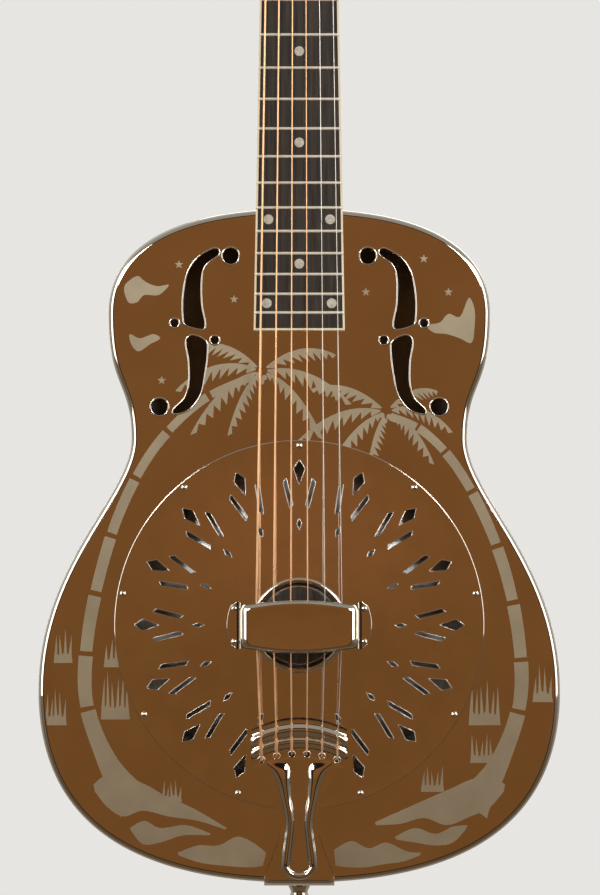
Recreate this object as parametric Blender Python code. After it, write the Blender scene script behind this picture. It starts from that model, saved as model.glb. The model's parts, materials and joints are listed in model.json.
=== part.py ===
"""A metal-bodied resonator guitar with one cone, a 14-fret neck and a slotted headstock.

Written in millimetres and scaled to metres. The guitar hangs upright: x runs across it, the front faces -y,
and the neck points up +z. The origin is where a wall hanger holds it, in the neck's wood at the nut.
"""

import math

import bmesh
import bpy
from mathutils import Matrix, Vector

for old in list(bpy.data.objects):
    bpy.data.objects.remove(old, do_unlink=True)

MM = 0.001
GAP = 0.3

# Where things lie: "down" is the distance below the nut, "high" the height in front of the top plate.
TOP_Y = -20.0
SCALE_LENGTH = 647.7
BODY_START = 359.2
BODY_END = 825.0
BODY_DEPTH = 83.0
SHEET = 1.0
EDGE_RADIUS = 4.5

# Outline of the body: half-widths, where they fall, and how far each curve's handles reach.
UPPER_HALF, UPPER_DOWN = 131.8, 432.0
WAIST_HALF, WAIST_DOWN = 115.8, 518.2
LOWER_HALF, LOWER_DOWN = 180.2, 692.0
SHOULDER_HANDLES = (92.8, 43.3)
RIB_HANDLES = (51.4, 39.8)
FLARE_HANDLES = (39.4, 87.8)
END_HANDLES = (70.9, 141.8)

# Resonator.
CENTRE_DOWN = 646.8
COVER_RADIUS = 127.7
COVER_RISE = 7.5
COVER_SCREW_RADIUS = 123.6
COVER_SCREWS = 9
OPENING_RADIUS = 29.0
LIP_RADIUS = 32.7
CLUSTERS = 16
WELL_RADIUS = 120.9
CONE_RADIUS = 120.0
CONE_RIM_HIGH = -25.0
SADDLE_HALF = 32.0

# Wooden stick through the body, and the pin in its end.
STICK_HALF = 10.5
STICK_FRONT, STICK_BACK = 30.0, 51.0
PIN_HIGH = -40.5

# Neck, in its own frame: z up the neck from the nut, y backwards from the fingerboard's face.
NECK_TILT = math.radians(1.8)
BOARD_HIGH = 8.0
BOARD_THICK = 6.0
BOARD_LENGTH = 443.7
NUT_WIDTH = 46.7
BOARD_TAPER = 0.0363
BINDING = 1.5
FRETS = 19
NUT_DEPTH = 4.7
ROD_Y = 13.2

# Headstock, in its own frame: z up its face from the nut, y backwards from the wood's face.
HEAD_TILT = math.radians(14.0)
HEAD_THICK = 15.0
HEAD_HALF = 38.0
HEAD_LENGTH = 188.0
SLOT_INNER, SLOT_OUTER = 9.5, 25.5
SLOT_LOW, SLOT_HIGH = 28.0, 152.0
ROLLER_Z = (60.0, 97.0, 134.0)
ROLLER_Y = 7.5
ROLLER_RADIUS = 4.5

# Tuner gears.
TEETH = 15
MODULE = 0.7
WHEEL_PITCH = TEETH * MODULE / 2
WHEEL_TIP, WHEEL_ROOT, WHEEL_WIDTH = 5.8, 4.45, 2.5
WORM_PITCH, WORM_TIP, WORM_CORE = 2.4, 3.0, 1.7
WORM_LEAD = math.pi * MODULE
GEAR_X = 43.15
GEAR_DROP = WHEEL_PITCH + WORM_PITCH

# Strings, from the lowest to the highest.
STRING_RADII = (0.71, 0.57, 0.445, 0.33, 0.23, 0.2)
NUT_PITCH, SADDLE_PITCH, TAIL_PITCH = 8.05, 11.8, 10.4
NUT_ACTION, SADDLE_ACTION = 1.4, 5.4
TAIL_DOWN, TAIL_HIGH, TAIL_ARC = 735.2, 11.4, 0.0058

NECK = (
    Matrix.Translation((0, TOP_Y - BOARD_HIGH, -BODY_START))
    @ Matrix.Rotation(-NECK_TILT, 4, "X")
    @ Matrix.Translation((0, 0, BODY_START))
)
HEAD = NECK @ Matrix.Translation((0, BOARD_THICK + GAP, 0)) @ Matrix.Rotation(-HEAD_TILT, 4, "X")

MATERIALS = {
    "nickel": ((0.72, 0.68, 0.62), 1.0, 0.08),
    "aluminium": ((0.80, 0.80, 0.82), 1.0, 0.25),
    "steel": ((0.60, 0.60, 0.62), 1.0, 0.25),
    "bronze": ((0.70, 0.45, 0.25), 1.0, 0.30),
    "mahogany": ((0.24, 0.11, 0.05), 0.0, 0.30),
    "maple": ((0.62, 0.42, 0.22), 0.0, 0.45),
    "spruce": ((0.70, 0.52, 0.32), 0.0, 0.60),
    "dark_wood": ((0.05, 0.04, 0.03), 0.0, 0.45),
    "ivory": ((0.82, 0.76, 0.60), 0.0, 0.35),
}


def material(slot):
    found = bpy.data.materials.get(slot)
    if found:
        return found
    colour, metallic, roughness = MATERIALS[slot]
    found = bpy.data.materials.new(slot)
    found.use_nodes = True
    shader = found.node_tree.nodes["Principled BSDF"]
    shader.inputs["Base Color"].default_value = (*colour, 1.0)
    shader.inputs["Metallic"].default_value = metallic
    shader.inputs["Roughness"].default_value = roughness
    return found


def front(x, down, high):
    """A point by its place across, below the nut, and in front of the top plate."""
    return Vector((x, TOP_Y - high, -down))


def solid(name, points, faces, slot, frame=None, smooth=None):
    """One named mesh object from points in millimetres, with its faces turned outwards."""
    if frame:
        points = [frame @ Vector(p) for p in points]
    mesh = bpy.data.meshes.new(name)
    mesh.from_pydata([Vector(p) * MM for p in points], [], faces)
    shape = bmesh.new()
    shape.from_mesh(mesh)
    bmesh.ops.remove_doubles(shape, verts=shape.verts, dist=1e-7)
    bmesh.ops.recalc_face_normals(shape, faces=shape.faces)
    if shape.calc_volume(signed=True) < 0:
        bmesh.ops.reverse_faces(shape, faces=shape.faces)
    shape.to_mesh(mesh)
    shape.free()
    obj = bpy.data.objects.new(name, mesh)
    bpy.context.scene.collection.objects.link(obj)
    mesh.materials.append(material(slot))
    if smooth:
        mesh.shade_smooth()
        mesh.set_sharp_from_angle(angle=math.radians(smooth))
    return obj


def loft(rings, closed=False):
    """Points and faces through rings of equal length, capped at both ends unless closed."""
    count = len(rings[0])
    points = [p for ring in rings for p in ring]
    faces = []
    spans = len(rings) if closed else len(rings) - 1
    for i in range(spans):
        a = i * count
        b = (i + 1) % len(rings) * count
        for j in range(count):
            k = (j + 1) % count
            faces.append((a + j, a + k, b + k, b + j))
    if not closed:
        faces.append(tuple(range(count)))
        faces.append(tuple(range((len(rings) - 1) * count, len(rings) * count)))
    return points, faces


def circle(radius, sides, turn=0.0):
    return [
        (radius * math.cos(turn + 2 * math.pi * i / sides), radius * math.sin(turn + 2 * math.pi * i / sides))
        for i in range(sides)
    ]


def prism(outline, low, high, to_point):
    """Points and faces of an outline pushed from low to high, placed by to_point(u, v, w)."""
    return loft([[to_point(u, v, w) for u, v in outline] for w in (low, high)])


def joined(parts):
    """Several closed shapes as one list of points and faces."""
    points, faces = [], []
    for more, these in parts:
        start = len(points)
        points += more
        faces += [tuple(i + start for i in face) for face in these]
    return points, faces


def lathe(profile, down, segments, closed=False, across=0.0, turn=0.0):
    """A profile of (radius, high) spun about the line through (across, down) that points to the front."""
    rings = [
        [
            front(across + r * math.cos(a), down + r * math.sin(a), h)
            for a in (turn + 2 * math.pi * i / segments for i in range(segments))
        ]
        for r, h in profile
    ]
    return loft(rings, closed)


def box(x, y, z):
    """A box from three (low, high) pairs."""
    ring = [(x[0], y[0]), (x[1], y[0]), (x[1], y[1]), (x[0], y[1])]
    return loft([[Vector((a, b, c)) for a, b in ring] for c in z])


def rod(start, end, radius, sides=12):
    """A round bar between two points."""
    start, end = Vector(start), Vector(end)
    along = (end - start).normalized()
    side = along.orthogonal().normalized()
    other = along.cross(side)
    ring = circle(radius, sides)
    return loft([[p + side * u + other * v for u, v in ring] for p in (start, end)])


def tube(path, radius, sides):
    """A round bar that follows a list of points, its ring carried along without twist."""
    path = [Vector(p) for p in path]
    rings = []
    side = None
    for i, here in enumerate(path):
        before = path[max(i - 1, 0)]
        after = path[min(i + 1, len(path) - 1)]
        along = (after - before).normalized()
        side = (side - along * side.dot(along)).normalized() if side else along.orthogonal().normalized()
        other = along.cross(side)
        rings.append([here + side * u + other * v for u, v in circle(radius, sides)])
    return loft(rings)


def cut(obj, shape, operation="DIFFERENCE", frame=None):
    """A Boolean on obj with a hidden helper made from points and faces."""
    helper = solid(f"{obj.name}_{operation.lower()}_{len(obj.modifiers)}", *shape, "steel", frame)
    helper.hide_render = True
    helper.display_type = "WIRE"
    step = obj.modifiers.new(helper.name, "BOOLEAN")
    step.operation = operation
    step.solver = "EXACT"
    step.object = helper
    return obj


def set_origin(obj, point):
    """Moves the object's origin to a point in millimetres and leaves its shape where it is."""
    shift = Vector(point) * MM
    obj.data.transform(Matrix.Translation(-shift))
    obj.location = shift


def bezier(a, b, c, d, steps):
    found = []
    for i in range(steps):
        t = i / steps
        u = 1 - t
        weights = (u**3, 3 * u * u * t, 3 * u * t * t, t**3)
        found.append(tuple(sum(w * p[k] for w, p in zip(weights, (a, b, c, d))) for k in (0, 1)))
    return found


def rounded_path(stations, steps):
    """A closed smooth curve through a few stations."""
    found = []
    count = len(stations)
    for i in range(count):
        p = [Vector(stations[(i + k) % count]) for k in (-1, 0, 1, 2)]
        for j in range(steps):
            t = j / steps
            point = (
                p[1] * 2
                + (p[2] - p[0]) * t
                + (p[0] * 2 - p[1] * 5 + p[2] * 4 - p[3]) * t * t
                + (p[1] * 3 - p[0] - p[2] * 3 + p[3]) * t**3
            ) / 2
            found.append((point.x, point.y))
    return found


def body_outline():
    """The right half from the neck round to the end, then its mirror image: (across, down, and the outward side)."""
    a1, b1 = SHOULDER_HANDLES
    a2, b2 = RIB_HANDLES
    a3, b3 = FLARE_HANDLES
    a4, b4 = END_HANDLES
    upper, waist = (UPPER_HALF, UPPER_DOWN), (WAIST_HALF, WAIST_DOWN)
    lower = (LOWER_HALF, LOWER_DOWN)
    right = (
        bezier((0, BODY_START), (a1, BODY_START), (upper[0], upper[1] - b1), upper, 9)
        + bezier(upper, (upper[0], upper[1] + a2), (waist[0], waist[1] - b2), waist, 4)
        + bezier(waist, (waist[0], waist[1] + a3), (lower[0], lower[1] - b3), lower, 7)
        + bezier(lower, (lower[0], lower[1] + a4), (b4, BODY_END), (0, BODY_END), 10)
        + [(0, BODY_END)]
    )
    left = [(-x, d) for x, d in right[-2:0:-1]]
    points = right + left
    found = []
    for i, (x, d) in enumerate(points):
        before = Vector(points[i - 1])
        after = Vector(points[(i + 1) % len(points)])
        along = (after - before).normalized()
        found.append((x, d, along.y, -along.x))
    return found


OUTLINE = body_outline()


def outline_ring(inset, high):
    return [front(x - nx * inset, d - nd * inset, high) for x, d, nx, nd in OUTLINE]


def edge_profile(outer_high, toward):
    """(inset, high) of a plate's rounded edge, outside then inside, from its flat face to its rim."""
    outside, inside = [], []
    for i in range(4):
        turn = math.pi / 2 * i / 3
        fall = EDGE_RADIUS * (1 - math.cos(turn))
        outside.append((EDGE_RADIUS * (1 - math.sin(turn)), outer_high + toward * fall))
        inner = EDGE_RADIUS - SHEET
        inside.append(
            (EDGE_RADIUS - inner * math.sin(turn), outer_high + toward * (SHEET + inner * (1 - math.cos(turn))))
        )
    return outside + inside[::-1]


def f_hole_outlines(side):
    """The two slots and four round holes of one sound hole."""
    upper = [(57.2, 387.6), (71.4, 394.7), (77.4, 404.7), (80.4, 419.8), (80.4, 433.9), (78.4, 440.0),
             (67.3, 443.0), (64.8, 439.0), (67.3, 424.9), (67.3, 406.8), (64.3, 396.7), (56.2, 390.6)]
    lower = [(73.4, 446.5), (64.3, 451.0), (63.4, 460.1), (65.3, 475.2), (68.3, 488.3), (76.4, 498.4),
             (86.5, 501.4), (86.5, 497.4), (79.4, 490.3), (76.4, 480.3), (76.4, 465.2), (78.4, 451.0)]
    rounds = [(47.4, 392.1, 6.0), (96.5, 496.3, 6.3), (86.1, 438.5, 3.3), (58.3, 450.3, 3.3)]
    shapes = [rounded_path(upper, 2), rounded_path(lower, 2)]
    for x, d, r in rounds:
        shapes.append([(x + u, d + v) for u, v in circle(r, 14)])
    return [[(side * x, d) for x, d in shape] for shape in shapes]


def cover_high(radius):
    """Height of the coverplate's outer face at a radius."""
    return GAP + SHEET + COVER_RISE * math.cos(math.pi / 2 * min(radius / COVER_RADIUS, 1)) ** 2


def body():
    top = solid("body_top", *loft([outline_ring(i, h) for i, h in edge_profile(0, -1)]), "nickel", smooth=35)
    holes = [prism(shape, -6, 6, front) for side in (-1, 1) for shape in f_hole_outlines(side)]
    holes.append(lathe([(WELL_RADIUS - GAP, -6), (WELL_RADIUS - GAP, 6)], CENTRE_DOWN, 64))
    for x, d in screw_places():
        holes.append(lathe([(1.4, -6), (1.4, 6)], d, 8, across=x))
    cut(top, joined(holes))

    back_profile = edge_profile(-BODY_DEPTH, 1)
    solid("body_back", *loft([outline_ring(i, h) for i, h in back_profile]), "nickel", smooth=35)

    high = -EDGE_RADIUS - GAP
    low = -BODY_DEPTH + EDGE_RADIUS + GAP
    rings = [outline_ring(i, h) for i, h in ((0, high), (0, low), (SHEET, low), (SHEET, high))]
    sides = solid("body_sides", *loft(rings, closed=True), "nickel", smooth=35)
    stick_hole = box(
        (-STICK_HALF - 0.7, STICK_HALF + 0.7),
        (TOP_Y + STICK_FRONT - 0.7, TOP_Y + STICK_BACK + 0.7),
        (-BODY_START - 8, -BODY_START + 5),
    )
    pin_hole = rod(front(0, BODY_END - 8, PIN_HIGH), front(0, BODY_END + 5, PIN_HIGH), 3.4)
    cut(sides, joined([stick_hole, pin_hole]))


def screw_places():
    found = []
    for i in range(COVER_SCREWS):
        turn = 2 * math.pi * i / COVER_SCREWS
        x = COVER_SCREW_RADIUS * math.sin(turn)
        found.append((x, CENTRE_DOWN - COVER_SCREW_RADIUS * math.cos(turn)))
    return found


def screw(name, x, down, seat, length, head=2.15, shank=1.1):
    """A round-headed screw that faces the front, its head's underside at height seat."""
    profile = [
        (head * 0.4, seat + head * 0.55), (head * 0.85, seat + head * 0.35), (head, seat), (shank, seat),
        (shank, seat - length),
    ]
    return solid(name, *lathe(profile, down, 8, across=x), "nickel", smooth=50)


def perforations():
    """The cut-outs of the coverplate: in each cluster a kite, two slanted slots and a small diamond."""
    shapes = []
    for i in range(CLUSTERS):
        turn = 2 * math.pi * i / CLUSTERS
        kite = [(0, 114.1), (4.1, 108.0), (0, 96.2), (-4.1, 108.0)]
        diamond = [(0, 74.1), (1.75, 69.7), (0, 65.3), (-1.75, 69.7)]
        group = [kite, diamond]
        for side in (-1, 1):
            middle = Vector((90.9 * math.sin(side * math.radians(4.9)), 90.9 * math.cos(math.radians(4.9))))
            along = Vector((side * math.sin(math.radians(14.5)), math.cos(math.radians(14.5))))
            across = Vector((along.y, -along.x)) * side
            slot = []
            for u, v in ((10.8, -1.55), (8.4, 1.55), (-10.8, 1.55), (-8.4, -1.55)):
                slot.append(tuple(middle + along * u + across * v))
            group.append(slot)
        for shape in group:
            placed = []
            for x, r in shape:
                placed.append(
                    (x * math.cos(turn) + r * math.sin(turn), CENTRE_DOWN - r * math.cos(turn) + x * math.sin(turn))
                )
            shapes.append(placed)
    return shapes


def resonator():
    radii = (COVER_RADIUS, 118, 84, 59, 42, LIP_RADIUS)
    outside = [(r, cover_high(r)) for r in radii]
    lip = [(LIP_RADIUS - 1.0, cover_high(LIP_RADIUS) + 1.2), (OPENING_RADIUS + 0.8, cover_high(LIP_RADIUS) + 1.2),
           (OPENING_RADIUS, cover_high(LIP_RADIUS)), (OPENING_RADIUS + 1, cover_high(LIP_RADIUS) - 2)]
    inside = [(r, cover_high(r) - SHEET) for r in radii[::-1]]
    cover = solid("coverplate", *lathe(outside + lip + inside, CENTRE_DOWN, 40, True, turn=0.031), "nickel", smooth=35)
    holes = [prism(shape, -3, 16, front) for shape in perforations()]
    for x, d in screw_places() + rest_screw_places():
        holes.append(lathe([(1.4, -3), (1.4, 16)], d, 8, across=x))
    cut(cover, joined(holes))
    for i, (x, d) in enumerate(screw_places()):
        screw(f"coverplate_screw_{i + 1}", x, d, cover_high(COVER_SCREW_RADIUS) + GAP, 9)

    well = [
        (WELL_RADIUS, -SHEET - GAP), (WELL_RADIUS + SHEET, -SHEET - GAP), (WELL_RADIUS + SHEET, -28.5),
        (107.0, -28.5), (107.0, -27.5), (WELL_RADIUS, -27.5),
    ]
    cup = solid("cone_well", *lathe(well, CENTRE_DOWN, 40, closed=True), "nickel", smooth=35)
    windows = []
    for i in range(12):
        turn = 2 * math.pi * (i + 0.5) / 12
        near = front(110 * math.sin(turn), CENTRE_DOWN - 110 * math.cos(turn), -13)
        far = front(132 * math.sin(turn), CENTRE_DOWN - 132 * math.cos(turn), -13)
        windows.append(rod(near, far, 7.5, 10))
    cut(cup, joined(windows))

    slope = [(CONE_RADIUS, CONE_RIM_HIGH), (113.5, CONE_RIM_HIGH), (110, CONE_RIM_HIGH + 2.5), (29, 0.9),
             (27.3, 2.0)]
    above = slope + [(3.4, 2.0)]
    below = [(3.4, 1.4)] + [(r, h - 0.6) for r, h in slope[::-1]]
    solid("cone", *lathe(above + below, CENTRE_DOWN, 40, closed=True), "aluminium", smooth=35)
    disc = [(3.0, 8.8), (25.8, 8.8), (26.6, 8.0), (26.6, 2.4), (3.0, 2.4)]
    biscuit = solid("biscuit", *lathe(disc, CENTRE_DOWN, 24, closed=True), "dark_wood", smooth=35)
    slot = box((-24, 24), (TOP_Y - 9.5, TOP_Y - 6.0), (-CENTRE_DOWN - 2.1, -CENTRE_DOWN + 2.1))
    cut(biscuit, slot)
    pin = [(0.5, 5.6), (2.6, 5.6), (2.6, 1.0), (5.5, 1.0), (5.5, -0.6), (0.5, -1.8)]
    solid("biscuit_screw", *lathe(pin, CENTRE_DOWN, 12), "steel", smooth=35)

    upper = saddle_high() - 0.15
    outline = [(-22.5, 6.3), (22.5, 6.3), (22.5, 12.6), (SADDLE_HALF, 13.4), (SADDLE_HALF, upper),
               (-SADDLE_HALF, upper), (-SADDLE_HALF, 13.4), (-22.5, 12.6)]
    solid("saddle", *prism(outline, -1.8, 1.8, lambda x, h, w: front(x, CENTRE_DOWN + w, h)), "maple")


def saddle_high():
    """Height of the strings' undersides at the saddle."""
    reach = SCALE_LENGTH - BODY_START
    return BOARD_HIGH + reach * math.sin(NECK_TILT) + SADDLE_ACTION * math.cos(NECK_TILT)


def rest_screw_places():
    return [(x, CENTRE_DOWN + d) for x in (-44.8, 44.8) for d in (-11.4, 11.4)]


def hand_rest():
    """A raised cover over the saddle, open above and below for the strings, on two screwed feet."""
    foot = cover_high(40.4) + GAP
    toe = cover_high(50.4) + GAP + 0.2
    roof = 30.0
    wall = 1.3
    bend = [(50.4, toe), (40.2, foot), (39.8, roof - 3), (37.5, roof), (0, roof)]
    outer = [(x, h + wall) for x, h in bend]
    outer[1] = (41.4, foot + wall)
    outer[2] = (41.1, roof - 2.6)
    path = [(-x, h) for x, h in bend] + [(x, h) for x, h in bend[-2::-1]]
    path += outer + [(-x, h) for x, h in outer[-2::-1]]
    half = [13.5 + 4.5 * math.cos(math.pi / 2 * min(abs(x) / 50, 1)) for x, _ in path]
    rings = []
    for side in (-1, 1):
        rings.append([front(x, CENTRE_DOWN + side * w, h) for (x, h), w in zip(path, half)])
    rest = solid("hand_rest", *loft(rings), "nickel", smooth=35)
    holes = [lathe([(1.4, 2), (1.4, 20)], d, 8, across=x) for x, d in rest_screw_places()]
    cut(rest, joined(holes))
    for i, (x, d) in enumerate(rest_screw_places()):
        screw(f"hand_rest_screw_{i + 1}", x, d, foot + wall + 0.1, 9)


def tail_high(down):
    """Height of the tailpiece's underside, from its bar to the bend over the end of the body."""
    share = (down - 712) / (BODY_END - 712)
    return 9.5 - 5.5 * max(0, min(share, 1))


def tail_hole_down(x):
    """The string holes lie on a shallow arc."""
    return TAIL_DOWN + TAIL_ARC * x * x


def tailpiece():
    right = [(0, 711.3), (20, 714.2), (33.1, 719.6), (33.1, 741.5), (30.4, 743.8), (24.5, 750.0),
             (15.3, 768.3), (13.0, 782.7), (15.3, 797.1), (22.9, 815.7), (23.9, 820.0)]
    outline = right + [(-x, d) for x, d in right[-1:0:-1]]
    rings = [[front(x, d, tail_high(d) + lift) for x, d in outline] for lift in (0, 1.5)]
    plate = solid("tailpiece", *loft(rings), "nickel", smooth=40)
    section = [(819.0, tail_high(820)), (819.0, tail_high(820) + 1.5), (824.6, 4.6), (827.4, 1.0),
               (827.8, -4.0), (827.8, -53.0), (825.4, -53.0), (825.4, -1.0), (824.4, 1.6), (822.6, 3.4)]
    strap = prism(section, -21.5, 21.5, lambda d, h, x: front(x, d, h))
    cut(plate, strap, "UNION")
    for side in (-1, 1):
        spine = [(16.0, 743.0), (9.8, 757.3), (5.7, 774.5), (5.0, 787.5), (7.4, 799.9), (9.8, 812.0)]
        path = [front(side * x, d, tail_high(d) + 1.3) for x, d in spine]
        cut(plate, tube(path, 2.6, 8), "UNION")
    bar = [front(x, 724.5 + x * x / 220, tail_high(724) + 1.4) for x in (-31, -20, -10, 0, 10, 20, 31)]
    cut(plate, tube(bar, 2.4, 8), "UNION")
    holes = []
    for i in range(6):
        x = (i - 2.5) * TAIL_PITCH
        holes.append(lathe([(2.35, 2), (2.35, 18)], tail_hole_down(x), 12, across=x))
    holes.append(rod(front(0, 820, PIN_HIGH), front(0, 832, PIN_HIGH), 3.4))
    cut(plate, joined(holes))
    pin = [(3.0, 797.0), (3.0, 828.2), (7.0, 828.4), (8.0, 830.5), (6.0, 835.5), (7.5, 839.0), (5.0, 841.0)]
    rings = []
    for r, d in pin:
        rings.append([front(u, d, v + PIN_HIGH) for u, v in circle(r, 14)])
    solid("end_pin", *loft(rings), "nickel", smooth=40)


def stick():
    depth = (TOP_Y + STICK_FRONT, TOP_Y + STICK_BACK)
    bar = solid("neck_stick", *box((-STICK_HALF, STICK_HALF), depth, (-BODY_END + 2.1, -BODY_START)), "mahogany")
    cut(bar, rod(front(0, 795, PIN_HIGH), front(0, 830, PIN_HIGH), 3.3))
    for name, down in (("stick_support_upper", 470), ("stick_support_lower", 760)):
        depth = (TOP_Y + STICK_BACK + GAP, TOP_Y + BODY_DEPTH - SHEET - GAP)
        block = box((-STICK_HALF, STICK_HALF), depth, (-down - 14, -down + 14))
        solid(name, *block, "spruce")


def board_half(z):
    return (NUT_WIDTH - BOARD_TAPER * z) / 2


def neck_section(z, back, waist, count=13, world_end=None):
    """A half-round section, flat where the fingerboard sits. waist narrows it towards its back."""
    ring = []
    face = BOARD_THICK + GAP
    for i in range(count):
        t = math.pi * i / (count - 1)
        bulge = math.sin(t) ** 0.85 if 0 < i < count - 1 else 0.0
        x = board_half(z) * math.cos(t) * (1 - waist * bulge)
        y = face + (back - face) * bulge
        here = z
        if world_end is not None:
            here = -BODY_START + (BODY_START - world_end + y * math.sin(NECK_TILT)) / math.cos(NECK_TILT)
        ring.append(Vector((x, y, here)))
    return ring


def head_outline():
    right = [(21.4, 0.7), (22.2, 6.1), (29, 15), (HEAD_HALF, 27), (HEAD_HALF, 166), (33, HEAD_LENGTH - 4),
             (14, HEAD_LENGTH - 1)]
    return right + [(-x, z) for x, z in right[::-1]]


def slots(side, low, high):
    inner, outer = sorted((side * SLOT_INNER, side * SLOT_OUTER))
    bevel = 4
    outline = [(inner + bevel, SLOT_LOW), (outer - bevel, SLOT_LOW), (outer, SLOT_LOW + bevel),
               (outer, SLOT_HIGH - bevel), (outer - bevel, SLOT_HIGH), (inner + bevel, SLOT_HIGH),
               (inner, SLOT_HIGH - bevel), (inner, SLOT_LOW + bevel)]
    return prism(outline, low, high, lambda x, z, y: Vector((x, y, z)))


def neck():
    shaft = [(5.2, 21.5, 0), (-60, 22.2, 0), (-180, 23.0, 0), (-300, 24.5, 0), (-318, 27.5, 0.02),
             (-332, 36, 0.06), (-344, 49, 0.1), (-352, 59, 0.12)]
    rings = [neck_section(z, back, waist) for z, back, waist in shaft]
    rings.append(neck_section(-358, 66, 0.13, world_end=BODY_START - GAP))
    wood = solid("neck", *loft(rings), "mahogany", NECK, smooth=40)
    cut(wood, prism(head_outline(), 0, HEAD_THICK, lambda x, z, y: Vector((x, y, z))), "UNION", HEAD)
    cut(wood, joined([slots(side, -6, 40) for side in (-1, 1)]), frame=HEAD)
    drilled = [rod((side * 7.4, -3, 14), (side * 7.4, 9.5, 14), 1.2, 8) for side in (-1, 1)]
    for z in ROLLER_Z:
        for side in (-1, 1):
            drilled.append(rod((side * 6, ROLLER_Y, z), (side * 45, ROLLER_Y, z), ROLLER_RADIUS + GAP, 16))
    cut(wood, joined(drilled), frame=HEAD)
    channel = box((-2.9, 2.9), (4, ROD_Y + 3), (-345, 6.5))
    pocket = box((-5.6, 5.6), (1, ROD_Y + 4.4), (5.6, 27))
    cut(wood, channel, frame=NECK)
    cut(wood, pocket, frame=NECK)

    solid("truss_rod", *rod((0, ROD_Y, -344), (0, ROD_Y, 18.5), 2.4, 12), "steel", NECK, smooth=40)
    hexagon = loft([[Vector((u, ROD_Y + v, z)) for u, v in circle(4.04, 6)] for z in (7.2, 17)])
    rod_nut = solid("truss_rod_nut", *hexagon, "steel", NECK)
    cut(rod_nut, rod((0, ROD_Y, 0), (0, ROD_Y, 25), 2.6, 16), frame=NECK)

    slab = [(board_half(0), 5.9)] + head_outline()[2:-2] + [(-board_half(0), 5.9)]
    to_head = lambda x, z, y: Vector((x, y, z))
    veneer = solid("headstock_overlay", *prism(slab, -1.8, -GAP, to_head), "dark_wood", HEAD)
    windows = [slots(side, -6, 4) for side in (-1, 1)]
    windows.append(box((-5.6, 5.6), (-6, 4), (4, 29)))
    for side in (-1, 1):
        windows.append(rod((side * 7.4, -6, 14), (side * 7.4, 4, 14), 1.2, 8))
    cut(veneer, joined(windows), frame=HEAD)
    bell = [(9, 7), (9.2, 20), (6.5, 28), (3, 34), (0, 36)]
    bell += [(-x, z) for x, z in bell[-2::-1]]
    cover = solid("truss_rod_cover", *prism(bell, -3.9, -2.1, to_head), "dark_wood", HEAD)
    holes = [rod((side * 7.4, -6, 14), (side * 7.4, 0, 14), 1.2, 8) for side in (-1, 1)]
    cut(cover, joined(holes), frame=HEAD)
    for i, side in enumerate((-1, 1)):
        rings = []
        for r, y in ((0.4, -5.2), (1.6, -4.9), (1.8, -4.2), (0.9, -4.2), (0.9, 6.5), (0.3, 7.5)):
            rings.append([Vector((side * 7.4 + u, y, 14 + v)) for u, v in circle(r, 10)])
        solid(f"rod_cover_screw_{i + 1}", *loft(rings), "nickel", HEAD, smooth=40)


def fingerboard():
    def half(z, inset):
        return board_half(z) - inset

    end = -BOARD_LENGTH
    rings = []
    for z in (-GAP, end + BINDING):
        w = half(z, BINDING)
        rings.append([Vector((x, y, z)) for x, y in ((-w, 0), (w, 0), (w, BOARD_THICK), (-w, BOARD_THICK))])
    board = solid("fingerboard", *loft(rings), "dark_wood", NECK)
    wires = []
    for n in range(1, FRETS + 1):
        z = -SCALE_LENGTH * (1 - 2 ** (-n / 12))
        w = half(z, BINDING) - 0.2
        section = [(-1.15, 0.3), (1.15, 0.3), (1.0, -0.6), (0.4, -1.0), (-0.4, -1.0), (-1.0, -0.6)]
        wires.append(prism(section, -w, w, lambda u, y, x, z=z: Vector((x, y, z + u))))
    cut(board, joined(wires), "UNION", NECK)

    inner = BINDING - 0.05
    path = [(-half(-GAP, 0), -GAP), (-half(end, 0), end), (half(end, 0), end), (half(-GAP, 0), -GAP)]
    path += [(half(-GAP, inner), -GAP), (half(end, inner), end + inner)]
    path += [(-half(end, inner), end + inner), (-half(-GAP, inner), -GAP)]
    edge = prism(path, 0, BOARD_THICK, lambda x, z, y: Vector((x, y, z)))
    solid("fingerboard_binding", *edge, "ivory", NECK)

    shim = []
    for down in (BODY_START + 8, BOARD_LENGTH - 8):
        under = BOARD_HIGH + (down - BODY_START) * math.tan(NECK_TILT) - BOARD_THICK - 2 * GAP
        w = board_half(-down) - 6
        shim.append([front(x, down, h) for x, h in ((-w, GAP), (w, GAP), (w, under), (-w, under))])
    solid("fingerboard_shim", *loft(shim), "mahogany")

    w = NUT_WIDTH / 2
    section = [(GAP, BOARD_THICK), (GAP + NUT_DEPTH, BOARD_THICK), (GAP + NUT_DEPTH, -0.4), (GAP + 1.2, -2.4),
               (GAP, -2.4)]
    nut = solid("nut", *prism(section, -w, w, lambda z, y, x: Vector((x, y, z))), "ivory", NECK)
    grooves = []
    for i, r in enumerate(STRING_RADII):
        start, toward = string_break(i)
        toward = (toward - start).normalized()
        ring = [(-r - 0.25, r + 0.25), (r + 0.25, r + 0.25), (r + 0.25, -4.5), (-r - 0.25, -4.5)]
        ends = [start - toward * 2, start + toward * 9]
        grooves.append(loft([[p + Vector((u, v, 0)) for u, v in ring] for p in ends]))
    cut(nut, joined(grooves), frame=NECK)


def string_side(i):
    """Which side of the headstock a string goes to, and its roller's place in the row."""
    return (-1, i) if i < 3 else (1, 5 - i)


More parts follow.
